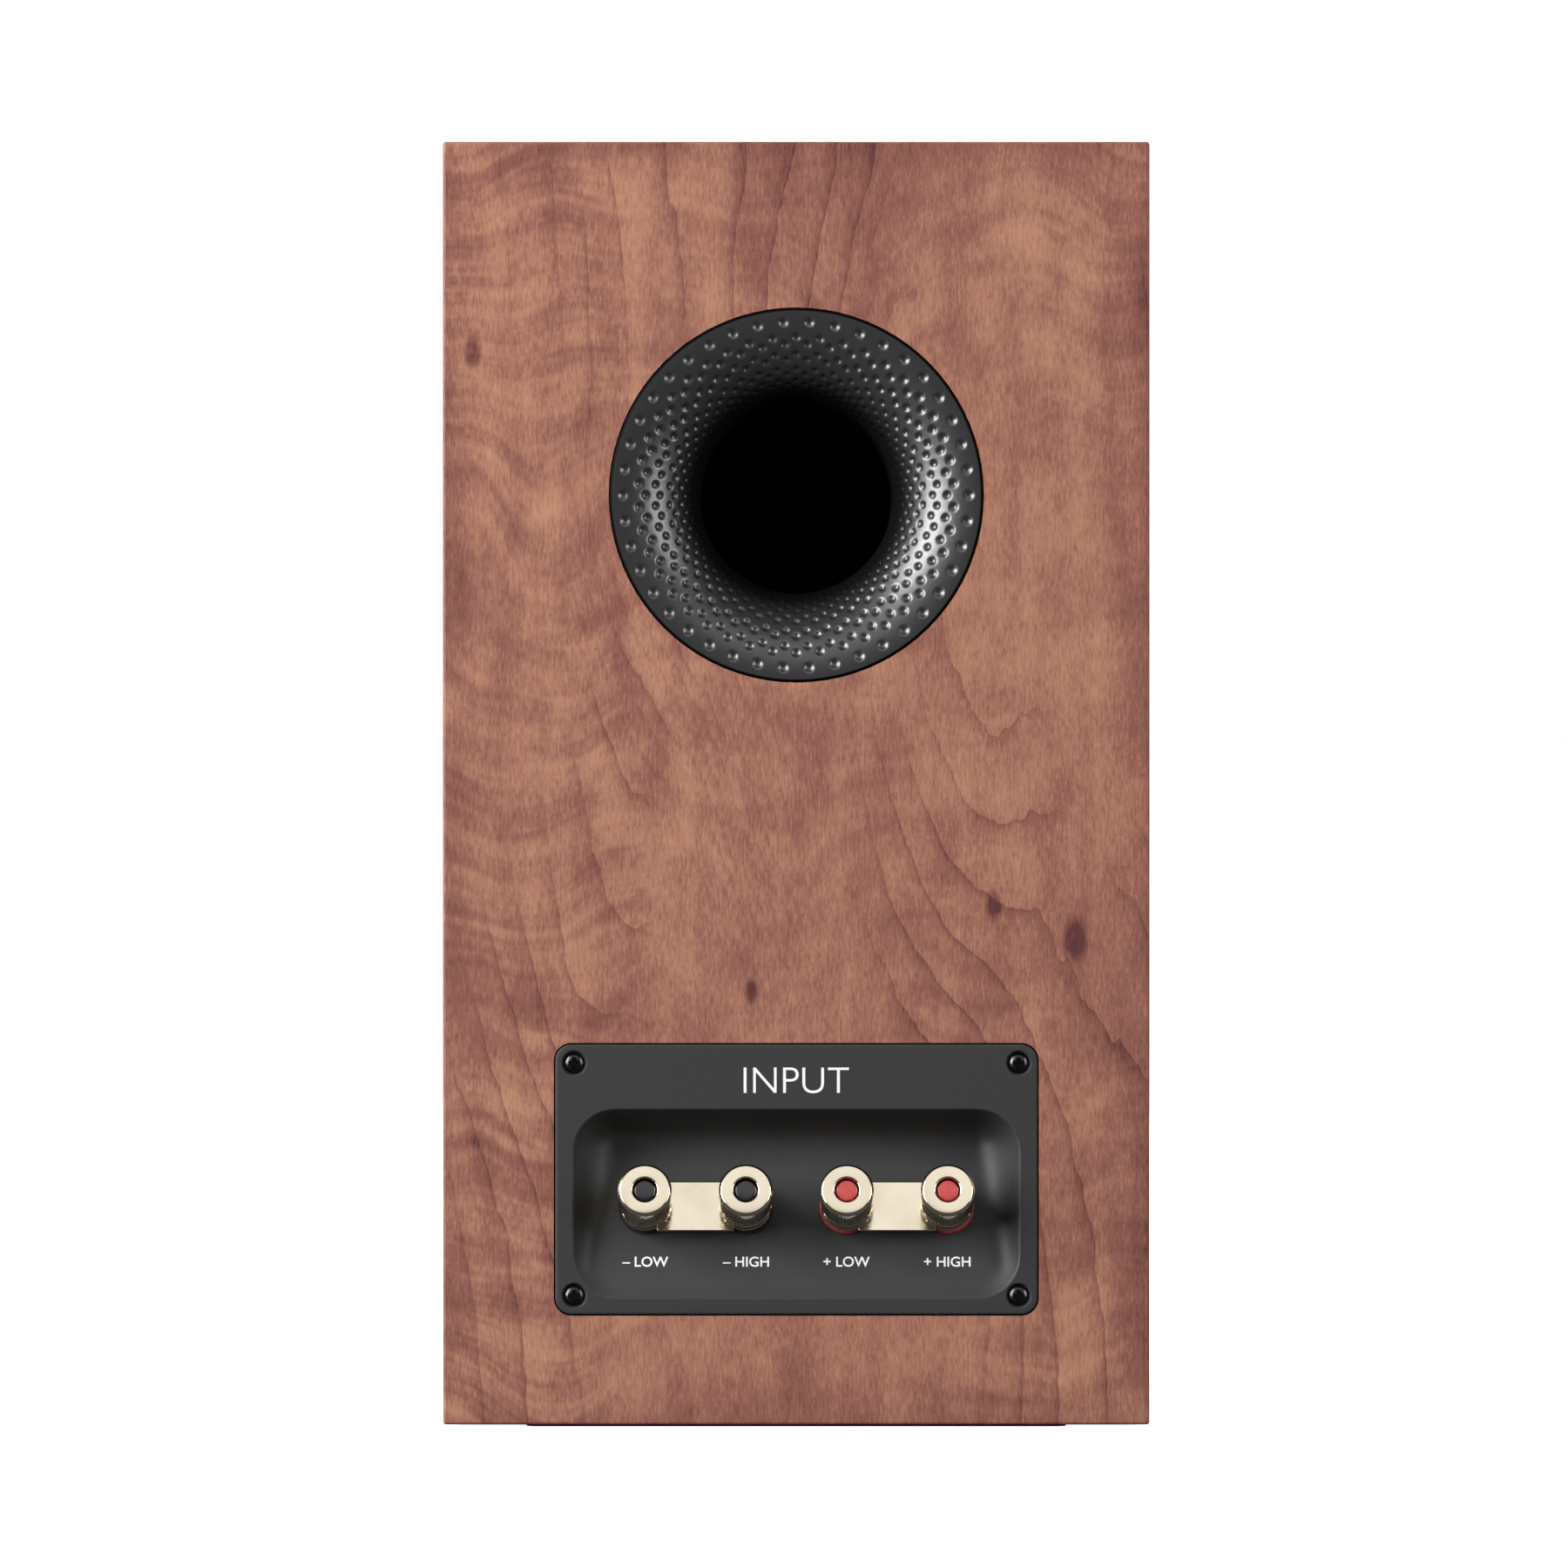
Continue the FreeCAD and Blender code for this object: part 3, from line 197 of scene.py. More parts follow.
def wood_print(name, turn, core_or_gap_shade, knots=()):
    """The printed foil, with its grain up local Z once turned, and the board's core colour under it, which on
    the rear is near-black painted shade for the cut gaps.
    """
    made, tree, bsdf = blank_material(name)
    at = add(tree, "ShaderNodeTexCoord").outputs["Object"]
    place = add(tree, "ShaderNodeMapping", {"Vector": at, "Rotation": turn}).outputs["Vector"]
    here = add(tree, "ShaderNodeSeparateXYZ", {0: at}).outputs
    on_grain = add(tree, "ShaderNodeSeparateXYZ", {0: place}).outputs
    eased = {"interpolation_type": "SMOOTHSTEP"}
    # growth lines lean over in the middle of the panel
    lean = {"Value": on_grain["Z"], "From Min": 0.05, "From Max": 0.27, "To Min": 0.0, "To Max": 0.075}
    lean = add(tree, "ShaderNodeMapRange", lean, **eased).outputs["Result"]
    values = {"grain x": on_grain["X"], "grain y": on_grain["Y"], "lean": lean,
              "x": here["X"], "y": here["Y"], "z": here["Z"]}
    # Layers of noise: cycles a metre across and along the grain, detail, roughness, the levels
    # that it is cut at and the range that this gives. Lines wander slowly and quickly, in places;
    # tone drifts; blotches and streaks are drawn out along the grain; the flame lies across it.
    for label, scale, detail, rough, (low, high), (least, most), settings in (
            ("slow", (13, 13, 5), 1.0, 0.5, (0.0, 1.0), (-0.05, 0.05), {}),
            ("quick", (75, 75, 26), 3.0, 0.6, (0.0, 1.0), (-0.0045, 0.0045), {}),
            ("vein mask", (16, 16, 5), 2.0, 0.5, (0.45, 0.62), (0.0, 1.0), eased),
            ("fine mask", (30, 30, 12), 2.0, 0.5, (0.5, 0.66), (0.0, 1.0), {}),
            ("tone", (12, 12, 9), 2.0, 0.5, (0.3, 0.7), (-0.07, 0.07), {}),
            ("blotch", (80, 80, 32), 5.0, 0.68, (0.28, 0.72), (-0.17, 0.17), {}),
            ("streak", (150, 150, 7), 4.0, 0.65, (0.25, 0.75), (-0.07, 0.07), {}),
            ("fibre", (1700, 1700, 280), 3.0, 0.75, (0.25, 0.75), (-0.24, 0.24), {}),
            ("lift", (22, 22, 10), 1.0, 0.5, (0.0, 1.0), (-0.03, 0.03), {}),
            ("flame", (24, 24, 170), 2.0, 0.6, (0.3, 0.7), (-0.17, 0.17), {}),
            ("flame mask", (16, 16, 7), 1.0, 0.5, (0.42, 0.6), (0.1, 0.6), {})):
        source = place
        if label == "flame":
            lifted = add(tree, "ShaderNodeCombineXYZ", {"Z": values["lift"]}).outputs[0]
            source = add(tree, "ShaderNodeVectorMath", {0: place, 1: lifted}, operation="ADD").outputs[0]
        stretched = add(tree, "ShaderNodeMapping", {"Vector": source, "Scale": scale}).outputs["Vector"]
        noise = {"Vector": stretched, "Scale": 1.0, "Detail": detail, "Roughness": rough}
        noise = add(tree, "ShaderNodeTexNoise", noise).outputs["Fac"]
        span = {"Value": noise, "From Min": low, "From Max": high, "To Min": least, "To Max": most}
        values[label] = add(tree, "ShaderNodeMapRange", span, **settings).outputs["Result"]
    if knots:  # the rear's sheet is more strongly figured along one edge
        figured = {"Value": here["X"], "From Min": 0.035, "From Max": 0.07, "To Min": 0.0, "To Max": 0.6}
        figured = add(tree, "ShaderNodeMapRange", figured, **eased).outputs["Result"]
        both = {0: values["flame mask"], 1: figured}
        values["flame mask"] = add(tree, "ShaderNodeMath", both, operation="ADD").outputs[0]
    # the sums: where a growth line is, its wide and fine rings, how far a spot lies inside the
    # cabinet's faces, and all the layers added up to how dark the print is
    for label, operation, *sources in (
            ("across", "SUBTRACT", "grain y", "grain x"), ("leaning", "ADD", "across", "lean"),
            ("wander", "ADD", "slow", "quick"), ("line at", "ADD", "leaning", "wander"),
            ("wide count", "MULTIPLY", "line at", 74.0), ("wide ring", "FRACT", "wide count"),
            ("fine count", "MULTIPLY", "line at", 233.0), ("fine saw", "FRACT", "fine count"),
            ("vein", "POWER", "wide ring", 12.0), ("vein", "MULTIPLY", "vein", "vein mask"),
            ("vein", "MULTIPLY", "vein", 0.25),
            ("soft ring", "POWER", "wide ring", 2.0), ("soft ring", "MULTIPLY", "soft ring", "vein mask"),
            ("soft ring", "MULTIPLY", "soft ring", 0.08),
            ("fine ring", "POWER", "fine saw", 3.0), ("fine ring", "MULTIPLY", "fine ring", "fine mask"),
            ("fine ring", "MULTIPLY", "fine ring", 0.09),
            ("flame", "MULTIPLY", "flame", "flame mask"),
            ("off x", "ABSOLUTE", "x"), ("off x", "SUBTRACT", "off x", CABINET_HALF),
            ("off z", "SUBTRACT", "z", CABINET_MIDDLE), ("off z", "ABSOLUTE", "off z"),
            ("off z", "SUBTRACT", "off z", CABINET_HALF_HEIGHT),
            ("off y", "SUBTRACT", "y", REAR), ("off sides", "MAXIMUM", "off x", "off z"),
            ("skin", "MAXIMUM", "off y", "off sides"), ("on skin", "GREATER_THAN", "skin", -FOIL_FOLD),
            ("darkness", "ADD", PRINT_DARKNESS, "tone"), ("darkness", "ADD", "darkness", "blotch"),
            ("darkness", "ADD", "darkness", "streak"), ("darkness", "ADD", "darkness", "fibre"),
            ("darkness", "ADD", "darkness", "flame"), ("darkness", "ADD", "darkness", "vein"),
            ("darkness", "ADD", "darkness", "soft ring"), ("darkness", "ADD", "darkness", "fine ring")):
        inputs = {k: values.get(source, source) for k, source in enumerate(sources)}
        values[label] = add(tree, "ShaderNodeMath", inputs, operation=operation).outputs[0]
    darkness, on_skin = values["darkness"], values["on skin"]
    for x, z, size in knots:
        away = at
        for operation, by in (("SUBTRACT", (x * MM, REAR, z * MM)), ("MULTIPLY", (1.0, 1.0, 0.55))):
            away = add(tree, "ShaderNodeVectorMath", {0: away, 1: by}, operation=operation).outputs[0]
        away = add(tree, "ShaderNodeVectorMath", {0: away}, operation="LENGTH").outputs["Value"]
        spot = {"Value": away, "From Min": 0.3 * size * MM, "From Max": size * MM, "To Min": 0.5, "To Max": 0.0}
        spot = add(tree, "ShaderNodeMapRange", spot, **eased).outputs["Result"]
        darkness = add(tree, "ShaderNodeMath", {0: darkness, 1: spot}, operation="ADD").outputs[0]
    # painted shade: the print is darkened within 14 mm of the cabinet's edges, where the light falls off
    painted_edge_shade = {"Value": values["off sides"], "From Min": -0.014, "From Max": 0.0}
    painted_edge_shade.update({"To Min": 0.0, "To Max": 0.17})
    painted_edge_shade = add(tree, "ShaderNodeMapRange", painted_edge_shade).outputs["Result"]
    darkness = add(tree, "ShaderNodeMath", {0: darkness, 1: painted_edge_shade}, operation="ADD").outputs[0]
    ramp = add(tree, "ShaderNodeValToRGB", {0: darkness})
    stops = ramp.color_ramp.elements
    while len(stops) < len(PRINT_TONES):
        stops.new(0.5)
    for stop, (position, colour) in zip(stops, PRINT_TONES):
        stop.position, stop.color = position, linear(colour)
    # under the foil the board's core colour shows; on the rear it is painted shade for the cut gaps
    colour = add(tree, "ShaderNodeMix", {0: on_skin, 6: linear(core_or_gap_shade), 7: ramp.outputs[0]}, data_type="RGBA")
    tree.links.new(colour.outputs[2], bsdf.inputs["Base Color"])
    gloss = {"Value": on_skin, "From Min": 0.0, "From Max": 1.0, "To Min": 0.85, "To Max": 0.42}
    tree.links.new(add(tree, "ShaderNodeMapRange", gloss).outputs["Result"], bsdf.inputs["Roughness"])
    emboss = add(tree, "ShaderNodeBump", {"Height": values["streak"], "Distance": 0.02 * MM, "Strength": 0.5})
    tree.links.new(emboss.outputs["Normal"], bsdf.inputs["Normal"])
    bsdf.inputs["Specular IOR Level"].default_value = 0.2
    return made


def refinish(name, surface):
    """Gives a CAD node its finished material."""
    slots = frame["nodes"][name].data.materials
    slots.clear()
    slots.append(surface)


KNOTS = ((87, 290, 3.2), (-53, 141, 3.0), (-75, 132, 4.5), (12, 118, 2.5))  # x, z and size, mm
# painted shade: on the rear the board under the foil is near-black, so the narrow gaps round the port and the
# tray read as shadow
rear_foil = wood_print("cherry print foil, rear", (0, 0, 0), "#141211", KNOTS)
side_foil = wood_print("cherry print foil, sides", (0, 0, 0.35), "#9a7a58")
flat_foil = wood_print("cherry print foil, top and bottom", (0, math.radians(90), 0), "#9a7a58")
refinish("rear_panel", rear_foil)
refinish("side_panel_left", side_foil)
refinish("side_panel_right", side_foil)
refinish("top_panel", flat_foil)
refinish("bottom_panel", flat_foil)
# the baffle is sprayed satin black: even, deep, with a very fine orange peel
refinish("front_baffle", finish("satin black paint", "#141415", "#19191b", 2.5, 0.36, bump_mm=0.02))
refinish("shelf_brace", finish("raw fibreboard", "#8f7350", "#a88b64", 1.2, 0.85, bump_mm=0.05))
refinish("foot_strips", finish("black rubber", "#101010", "#1a1a1a", 0.8, 0.8, bump_mm=0.04))


# Port: a flared mouth moulded in satin black plastic, its flare covered in rings of small
# concave dimples, every other ring set half a pitch round. Behind it runs a plain tube.
def arc(middle, radius, start, end, steps):
    """Points of a circular arc in a profile, from one angle to another in degrees."""
    angles = np.radians(np.linspace(start, end, steps + 1))
    return [(middle[0] + radius * math.cos(a), middle[1] + radius * math.sin(a)) for a in angles]


def lathe(name, profile, origin, axis, segments, *materials):
    """A piece turned about an axis. A profile point is (radius, distance along the axis), mm."""
    rows = np.array([(p[0], p[1]) for p in profile]) * MM
    axis = Vector(axis).normalized()
    side = axis.cross(Vector((0, 0, 1))).normalized()
    other = axis.cross(side)
    turn = np.linspace(0, 2 * math.pi, segments, endpoint=False)
    ring = np.outer(np.cos(turn), side) + np.outer(np.sin(turn), other)
    points = np.array(origin) + rows[:, None, 1:] * np.array(axis) + rows[:, None, :1] * ring
    faces = []
    for k in range(len(rows)):
        a, b = k * segments, (k + 1) % len(rows) * segments
        for n in range(segments):
            m = (n + 1) % segments
            faces.append((a + n, a + m, b + m, b + n))
    mesh = bpy.data.meshes.new(name)
    mesh.from_pydata(points.reshape(-1, 3), [], faces)
    tidy(mesh)
    return mesh_object(name, mesh, *materials)


def tidy(mesh):
    """Merges doubles, turns the faces outwards and shades them smooth."""
    shell = bmesh.new()
    shell.from_mesh(mesh)
    bmesh.ops.remove_doubles(shell, verts=shell.verts, dist=1e-7)
    bmesh.ops.dissolve_degenerate(shell, edges=shell.edges, dist=1e-8)
    bmesh.ops.recalc_face_normals(shell, faces=shell.faces)
    for face in shell.faces:
        face.smooth = True
    shell.to_mesh(mesh)
    shell.free()


def piece(made, body, slot, *nodes):
    """Hides the CAD nodes that a piece stands for and hangs it on what it rides on; its slot is not used."""
    if nodes:
        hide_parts(*nodes)
    if body:
        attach(made, body)


def new_tree(name, **inputs):
    """A Geometry Nodes tree with a geometry in and out and named number inputs."""
    tree = bpy.data.node_groups.new(name, "GeometryNodeTree")
    tree.interface.new_socket("Geometry", in_out="INPUT", socket_type="NodeSocketGeometry")
    tree.interface.new_socket("Geometry", in_out="OUTPUT", socket_type="NodeSocketGeometry")
    for label, kind in inputs.items():
        tree.interface.new_socket(label.replace("_", " "), in_out="INPUT", socket_type=kind)
    return tree, tree.nodes.new("NodeGroupInput").outputs, tree.nodes.new("NodeGroupOutput").inputs


def grow(made, tree, **values):
    """Runs a tree on an object with its inputs set, and keeps the result as a plain mesh."""
    growth = made.modifiers.new(tree.name, "NODES")
    growth.node_group = tree
    for item in tree.interface.items_tree:
        label = item.name.replace(" ", "_")
        if item.in_out == "INPUT" and label in values:
            growth[item.identifier] = values[label]
    bpy.context.view_layer.update()
    evaluated = made.evaluated_get(bpy.context.evaluated_depsgraph_get())
    result = bpy.data.meshes.new_from_object(evaluated)
    made.modifiers.remove(growth)
    made.data = result


FLARE_EDGE, THROAT, FACE_PROUD = 50.05, 26.0, 0.2
FLARE_RADIUS = FLARE_EDGE - THROAT
DIMPLES_ROUND = 42
DIMPLE_RINGS = (8.6, 23.1, 34.2, 46.1, 56.0, 65.0, 73.0)  # degrees round the flare's arc
STAGGERED_RINGS = (18.5, 30.3, 41.8, 51.9, 61.0, 69.5)
DIMPLE_SHARE = 0.0305  # of the dimple's distance from the port's axis
DIMPLE_DEPTH_SHARE = 0.48  # of the dimple's own radius
port_middle = (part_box("port_flare")[0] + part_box("port_flare")[1]) / 2
port_origin = Vector((port_middle.x, REAR, port_middle.z))
port_plastic = finish("satin moulded polypropylene", "#212121", "#242424", 0.5, 0.34)
# painted shade: down the throat and round the rolled edge, where shade falls in the port and in the gap round
# the flange, the plastic is darkened and its sheen taken away
tree, bsdf = port_plastic.node_tree, port_plastic.node_tree.nodes["Principled BSDF"]
at = add(tree, "ShaderNodeTexCoord").outputs["Object"]
here = add(tree, "ShaderNodeVectorMath", {0: at, 1: port_origin}, operation="SUBTRACT").outputs[0]
off_axis = add(tree, "ShaderNodeVectorMath", {0: here, 1: (1, 0, 1)}, operation="MULTIPLY").outputs[0]
off_axis = add(tree, "ShaderNodeVectorMath", {0: off_axis}, operation="LENGTH").outputs["Value"]
gap_shade_band = {"Value": off_axis, "From Min": (FLARE_EDGE - 0.55) * MM, "From Max": (FLARE_EDGE - 0.4) * MM}
edge_gap_shade = add(tree, "ShaderNodeMapRange", gap_shade_band).outputs[0]
depth_in = add(tree, "ShaderNodeSeparateXYZ", {0: here}).outputs["Y"]
throat_shade = {"Value": depth_in, "From Min": -5 * MM, "From Max": -15 * MM}
throat_shade = add(tree, "ShaderNodeMapRange", throat_shade, interpolation_type="SMOOTHSTEP").outputs[0]
painted_port_shade = add(tree, "ShaderNodeMath", {0: edge_gap_shade, 1: throat_shade}, operation="MAXIMUM").outputs[0]
sheen = add(tree, "ShaderNodeMapRange", {"Value": painted_port_shade, "To Min": 1.0, "To Max": 0.04}).outputs[0]
tree.links.new(sheen, bsdf.inputs["Specular IOR Level"])
smooth_tone = bsdf.inputs["Base Color"].links[0].from_socket
tone = add(tree, "ShaderNodeMix", {0: painted_port_shade, 6: smooth_tone, 7: linear("#0e0e0e")}, data_type="RGBA")
tree.links.new(tone.outputs[2], bsdf.inputs["Base Color"])

# distances along are behind the rear face, so the profile's arc turns from the face to the throat
flare_top = (FLARE_EDGE, FLARE_RADIUS - FACE_PROUD)
flare = arc(flare_top, FLARE_RADIUS, -90, -180, 92)
flare_back = arc(flare_top, FLARE_RADIUS - 2.5, -180, -104, 24)
port_profile = [(FLARE_EDGE, 3.0), (FLARE_EDGE, 0.1), (FLARE_EDGE - 0.08, -0.12)] + flare
port_profile += [(THROAT, 30.0), (THROAT, 42.0), (THROAT + 1.4, 42.0)]
port_profile += [(THROAT + 1.4, 34.0), (THROAT + 2.5, 34.0)]
port_profile += flare_back + [(flare_back[-1][0], 3.0)]
mouth = lathe("port_mouth", port_profile, port_origin, (0, -1, 0), DIMPLES_ROUND * 16, port_plastic)

tree, given, result = new_tree("dimples", Depth_share="NodeSocketFloat",
                               Size_share="NodeSocketFloat", Surface="NodeSocketMaterial")
centres = add(tree, "GeometryNodeJoinGeometry")
for shift, rings in ((0.0, DIMPLE_RINGS), (math.pi / DIMPLES_ROUND, STAGGERED_RINGS)):
    for angle in rings:
        a = math.radians(angle)
        radius = (FLARE_EDGE - FLARE_RADIUS * math.sin(a)) * MM
        behind = (FLARE_RADIUS * (1 - math.cos(a)) - FACE_PROUD) * MM
        circle = add(tree, "GeometryNodeMeshCircle", {"Vertices": DIMPLES_ROUND, "Radius": radius})
        turn = Matrix.Rotation(math.radians(90), 4, "X") @ Matrix.Rotation(shift, 4, "Z")
        place = {"Geometry": circle.outputs[0], "Translation": port_origin - Vector((0, behind, 0)),
                 "Rotation": turn.to_euler()}
        ring = add(tree, "GeometryNodeTransform", place)
        tree.links.new(ring.outputs[0], centres.inputs[0])
near = add(tree, "GeometryNodeProximity", {0: centres.outputs[0]}, target_element="POINTS")
from_axis = add(tree, "GeometryNodeInputPosition").outputs[0]
for operation, by in (("SUBTRACT", port_origin), ("MULTIPLY", (1, 0, 1))):
    from_axis = add(tree, "ShaderNodeVectorMath", {0: from_axis, 1: by}, operation=operation).outputs[0]
from_axis = add(tree, "ShaderNodeVectorMath", {0: from_axis}, operation="LENGTH").outputs["Value"]
# a dimple is a bowl: its depth falls with the square of the distance from its centre
values = {"near": near.outputs["Distance"], "from axis": from_axis, **dict(given.items())}
for label, operation, *sources in (
        ("size", "MULTIPLY", "from axis", "Size share"), ("share", "DIVIDE", "near", "size"),
        ("square", "POWER", "share", 2.0), ("bowl", "SUBTRACT", 1.0, "square"),
        ("bowl", "MAXIMUM", "bowl", 0.0), ("deep", "MULTIPLY", "size", "Depth share"),
        ("deep", "MULTIPLY", "deep", "bowl"), ("deep", "MULTIPLY", "deep", -1.0)):
    inputs = {k: values.get(source, source) for k, source in enumerate(sources)}
    values[label] = add(tree, "ShaderNodeMath", inputs, operation=operation).outputs[0]
normal = add(tree, "GeometryNodeInputNormal").outputs[0]
inward = add(tree, "ShaderNodeVectorMath", {0: normal, "Scale": values["deep"]}, operation="SCALE").outputs[0]
pressed = add(tree, "GeometryNodeSetPosition", {"Geometry": given["Geometry"], "Offset": inward})
real = add(tree, "GeometryNodeRealizeInstances", {0: pressed.outputs[0]})
painted = add(tree, "GeometryNodeSetMaterial", {0: real.outputs[0], "Material": given["Surface"]})
tree.links.new(painted.outputs[0], result[0])
grow(mouth, tree, Depth_share=DIMPLE_DEPTH_SHARE, Size_share=DIMPLE_SHARE, Surface=port_plastic)
piece(mouth, "root", "port_plastic", "port_flare")
refinish("port_tube", finish("matt inside of the port tube", "#151515", "#1a1a1a", 0.8, 0.8, bump_mm=0.01))

# Terminal tray: one matt black moulding, its plate flush in the rear board and its recess
# sunk with soft coved sides to a floor that leans, so that the posts point a little upwards.
tray_low, tray_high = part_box("terminal_tray")
TRAY_FACE = tray_high.y
TRAY_MIDDLE = (tray_low.z + tray_high.z) / 2
TRAY_WIDTH, TRAY_HEIGHT, TRAY_CORNER, PLATE_THICK = 129.6, 72.6, 4.4, 2.7
RECESS_WIDTH, RECESS_HEIGHT, RECESS_CORNER, RECESS_LOW = 119.9, 50.7, 11.5, 4.3
RECESS_SHALLOW, COVE_END, LIP = 1.0, 12.4, 0.45
TRAY_WALL, POST_HOLE = 1.9, 4.1
SCREWS_WIDE, SCREWS_HIGH = 119.5, 62.5  # between the middles of the four screws
RIM_STEPS = ((1.2, 0), (0.5, 0), (0.27, 0.04), (0.1, 0.14), (0.02, 0.28), (0, 0.5), (0, 1.2), (0, PLATE_THICK))
LIP_INSETS = (-0.4, -0.35, -0.25, -0.1, 0.05, 0.2, 0.35, 0.5, 0.7, 0.95, 1.25)
DISH_STEPS = ((3.6, 0), (3.5, 0), (3.4, 0.05), (3.33, 0.15), (3.27, 0.3), (3.2, 0.5),
              (2.95, 1.1), (2.8, 1.28), (2.5, 1.3), (1.9, 1.3), (1.9, 2.7))  # radius, depth
knob_joints = [joint for joint in frame["joints"] if joint["name"].startswith("knob_")]
POSTS = [Vector(joint["pos_m"]) for joint in knob_joints]
POST_AXIS = Vector(knob_joints[0]["axis"]).normalized()
UP_FLOOR = Vector((1, 0, 0)).cross(POST_AXIS).normalized()
TILT = math.atan2(POST_AXIS.z, POST_AXIS.y)
recess_bottom = tray_low.z / MM + RECESS_LOW
recess_middle = recess_bottom + RECESS_HEIGHT / 2
tray_plastic = finish("matt moulded polystyrene", "#262627", "#292a2a", 0.45, 0.58, bump_mm=0.003)


def rounded_outline(width, height, corner, middle_z, turns=10, runs=26):
    """Points (x, z) round a rounded rectangle; the same number whatever its size."""
    half_x, half_z = width / 2 - corner, height / 2 - corner
    points = []
    centres = [(half_x, half_z, 0), (-half_x, half_z, 90)]
    centres += [(-half_x, -half_z, 180), (half_x, -half_z, 270)]
    for k, (x, z, start) in enumerate(centres):
        turn = arc((x, z + middle_z), corner, start, start + 90, turns)
        after = centres[(k + 1) % 4]
        begin = arc((after[0], after[1] + middle_z), corner, after[2], after[2], 1)[0]
        points += turn
        (from_x, from_z), (to_x, to_z) = turn[-1], begin
        for t in np.linspace(0, 1, runs + 1)[1:-1]:
            points.append((from_x * (1 - t) + to_x * t, from_z * (1 - t) + to_z * t))
    return points


def floor_depth(z):
    return RECESS_SHALLOW + max(0.0, z - recess_bottom) * math.tan(TILT)


def recess_depth(inset, z):
    """Depth behind the face at a distance in from the recess's outline: cove, then floor."""
    total = 0.0
    for nudge in (-0.75, -0.25, 0.25, 0.75):
        inside = max(0.0, inset + nudge * LIP)
        deep = floor_depth(z)
        cove = min(12.2, 3.2 + 0.66 * deep)
        total += deep * (1 - (1 - min(1.0, inside / cove)) ** 2.3)
    return total / 4


def bridge(shell, loops):
    """Joins loops of the same number of vertices with quads."""
    for a, b in zip(loops, loops[1:]):
        for k in range(len(a)):
            n = (k + 1) % len(a)
            shell.faces.new((a[k], a[n], b[n], b[k]))


def loop_edges(shell, loop):
    ends = [(loop[k - 1], loop[k]) for k in range(len(loop))]
    return [shell.edges.get(pair) or shell.edges.new(pair) for pair in ends]


def on_face(x, depth, z):
    return Vector((x * MM, TRAY_FACE - depth * MM, z * MM))


shell = bmesh.new()
rim = []
for inset, depth in RIM_STEPS:
    wide, high = TRAY_WIDTH - 2 * inset, TRAY_HEIGHT - 2 * inset
    points = rounded_outline(wide, high, TRAY_CORNER - inset, TRAY_MIDDLE / MM)
    rim.append([shell.verts.new(on_face(x, depth, z)) for x, z in points])
bridge(shell, rim)
recess = []
for inset in LIP_INSETS + tuple(np.linspace(1.6, COVE_END, 22)):
    wide, high = RECESS_WIDTH - 2 * inset, RECESS_HEIGHT - 2 * inset
    points = rounded_outline(wide, high, max(0.8, RECESS_CORNER - inset), recess_middle)
    recess.append([shell.verts.new(on_face(x, recess_depth(inset, z), z)) for x, z in points])
bridge(shell, recess)
dishes = []
for sx, sz in ((-1, -1), (-1, 1), (1, -1), (1, 1)):
    screw_at = (sx * SCREWS_WIDE / 2, TRAY_MIDDLE / MM + sz * SCREWS_HIGH / 2)
    rings = []
    for radius, depth in DISH_STEPS:
        points = arc(screw_at, radius, 0, 350, 35)
        rings.append([shell.verts.new(on_face(x, depth, z)) for x, z in points])
    bridge(shell, rings)
    dishes.append(rings[0])
flat = loop_edges(shell, rim[0]) + loop_edges(shell, recess[0])
for ring in dishes:
    flat += loop_edges(shell, ring)
bmesh.ops.triangle_fill(shell, use_beauty=True, use_dissolve=False, edges=flat, normal=(0, 1, 0))
floor_edges = loop_edges(shell, recess[-1])
for post in POSTS:
    ring = []
    for k in range(36):
        a = math.radians(10 * k)
        outwards = Vector((1, 0, 0)) * math.cos(a) + UP_FLOOR * math.sin(a)
        ring.append(shell.verts.new(post + outwards * POST_HOLE * MM))
    floor_edges += loop_edges(shell, ring)
filled = bmesh.ops.triangle_fill(
    shell, use_beauty=True, use_dissolve=False, edges=floor_edges, normal=POST_AXIS)
floor_faces = [part for part in filled["geom"] if isinstance(part, bmesh.types.BMFace)]
bmesh.ops.remove_doubles(shell, verts=shell.verts, dist=1e-7)
bmesh.ops.recalc_face_normals(shell, faces=shell.faces)
if sum(face.normal.y * face.calc_area() for face in shell.faces) < 0:
    bmesh.ops.reverse_faces(shell, faces=shell.faces)
for face in shell.faces:
    face.smooth = face not in floor_faces
tray_mesh = bpy.data.meshes.new("terminal_moulding")
shell.to_mesh(tray_mesh)
shell.free()
tray = mesh_object("terminal_moulding", tray_mesh, tray_plastic)
wall = tray.modifiers.new("wall", "SOLIDIFY")
wall.thickness, wall.offset = TRAY_WALL * MM, -1.0
piece(tray, "root", "tray_plastic", "terminal_tray")
refinish("tray_gasket", finish("closed-cell foam", "#141414", "#1e1e1e", 0.5, 0.9, bump_mm=0.05))

# The lettering is pad-printed in white on the plate and on the recess's floor: generic words
# for what each post takes.
INK_PROUD, INK_THICK = 0.03, 0.04
FONT_HALF_CAP = 0.36  # half a capital's height, in the font's own units
TITLE_CAP, TITLE_ABOVE_RECESS, TITLE_THINNED = 6.9, 7.9, 0.012
LABEL_CAP, LABEL_BELOW_POST, LABEL_THINNED = 2.75, 14.9, -0.012
white_ink = finish("white pad-print ink", "#e2e2e0", "#ececea", 0.6, 0.55)


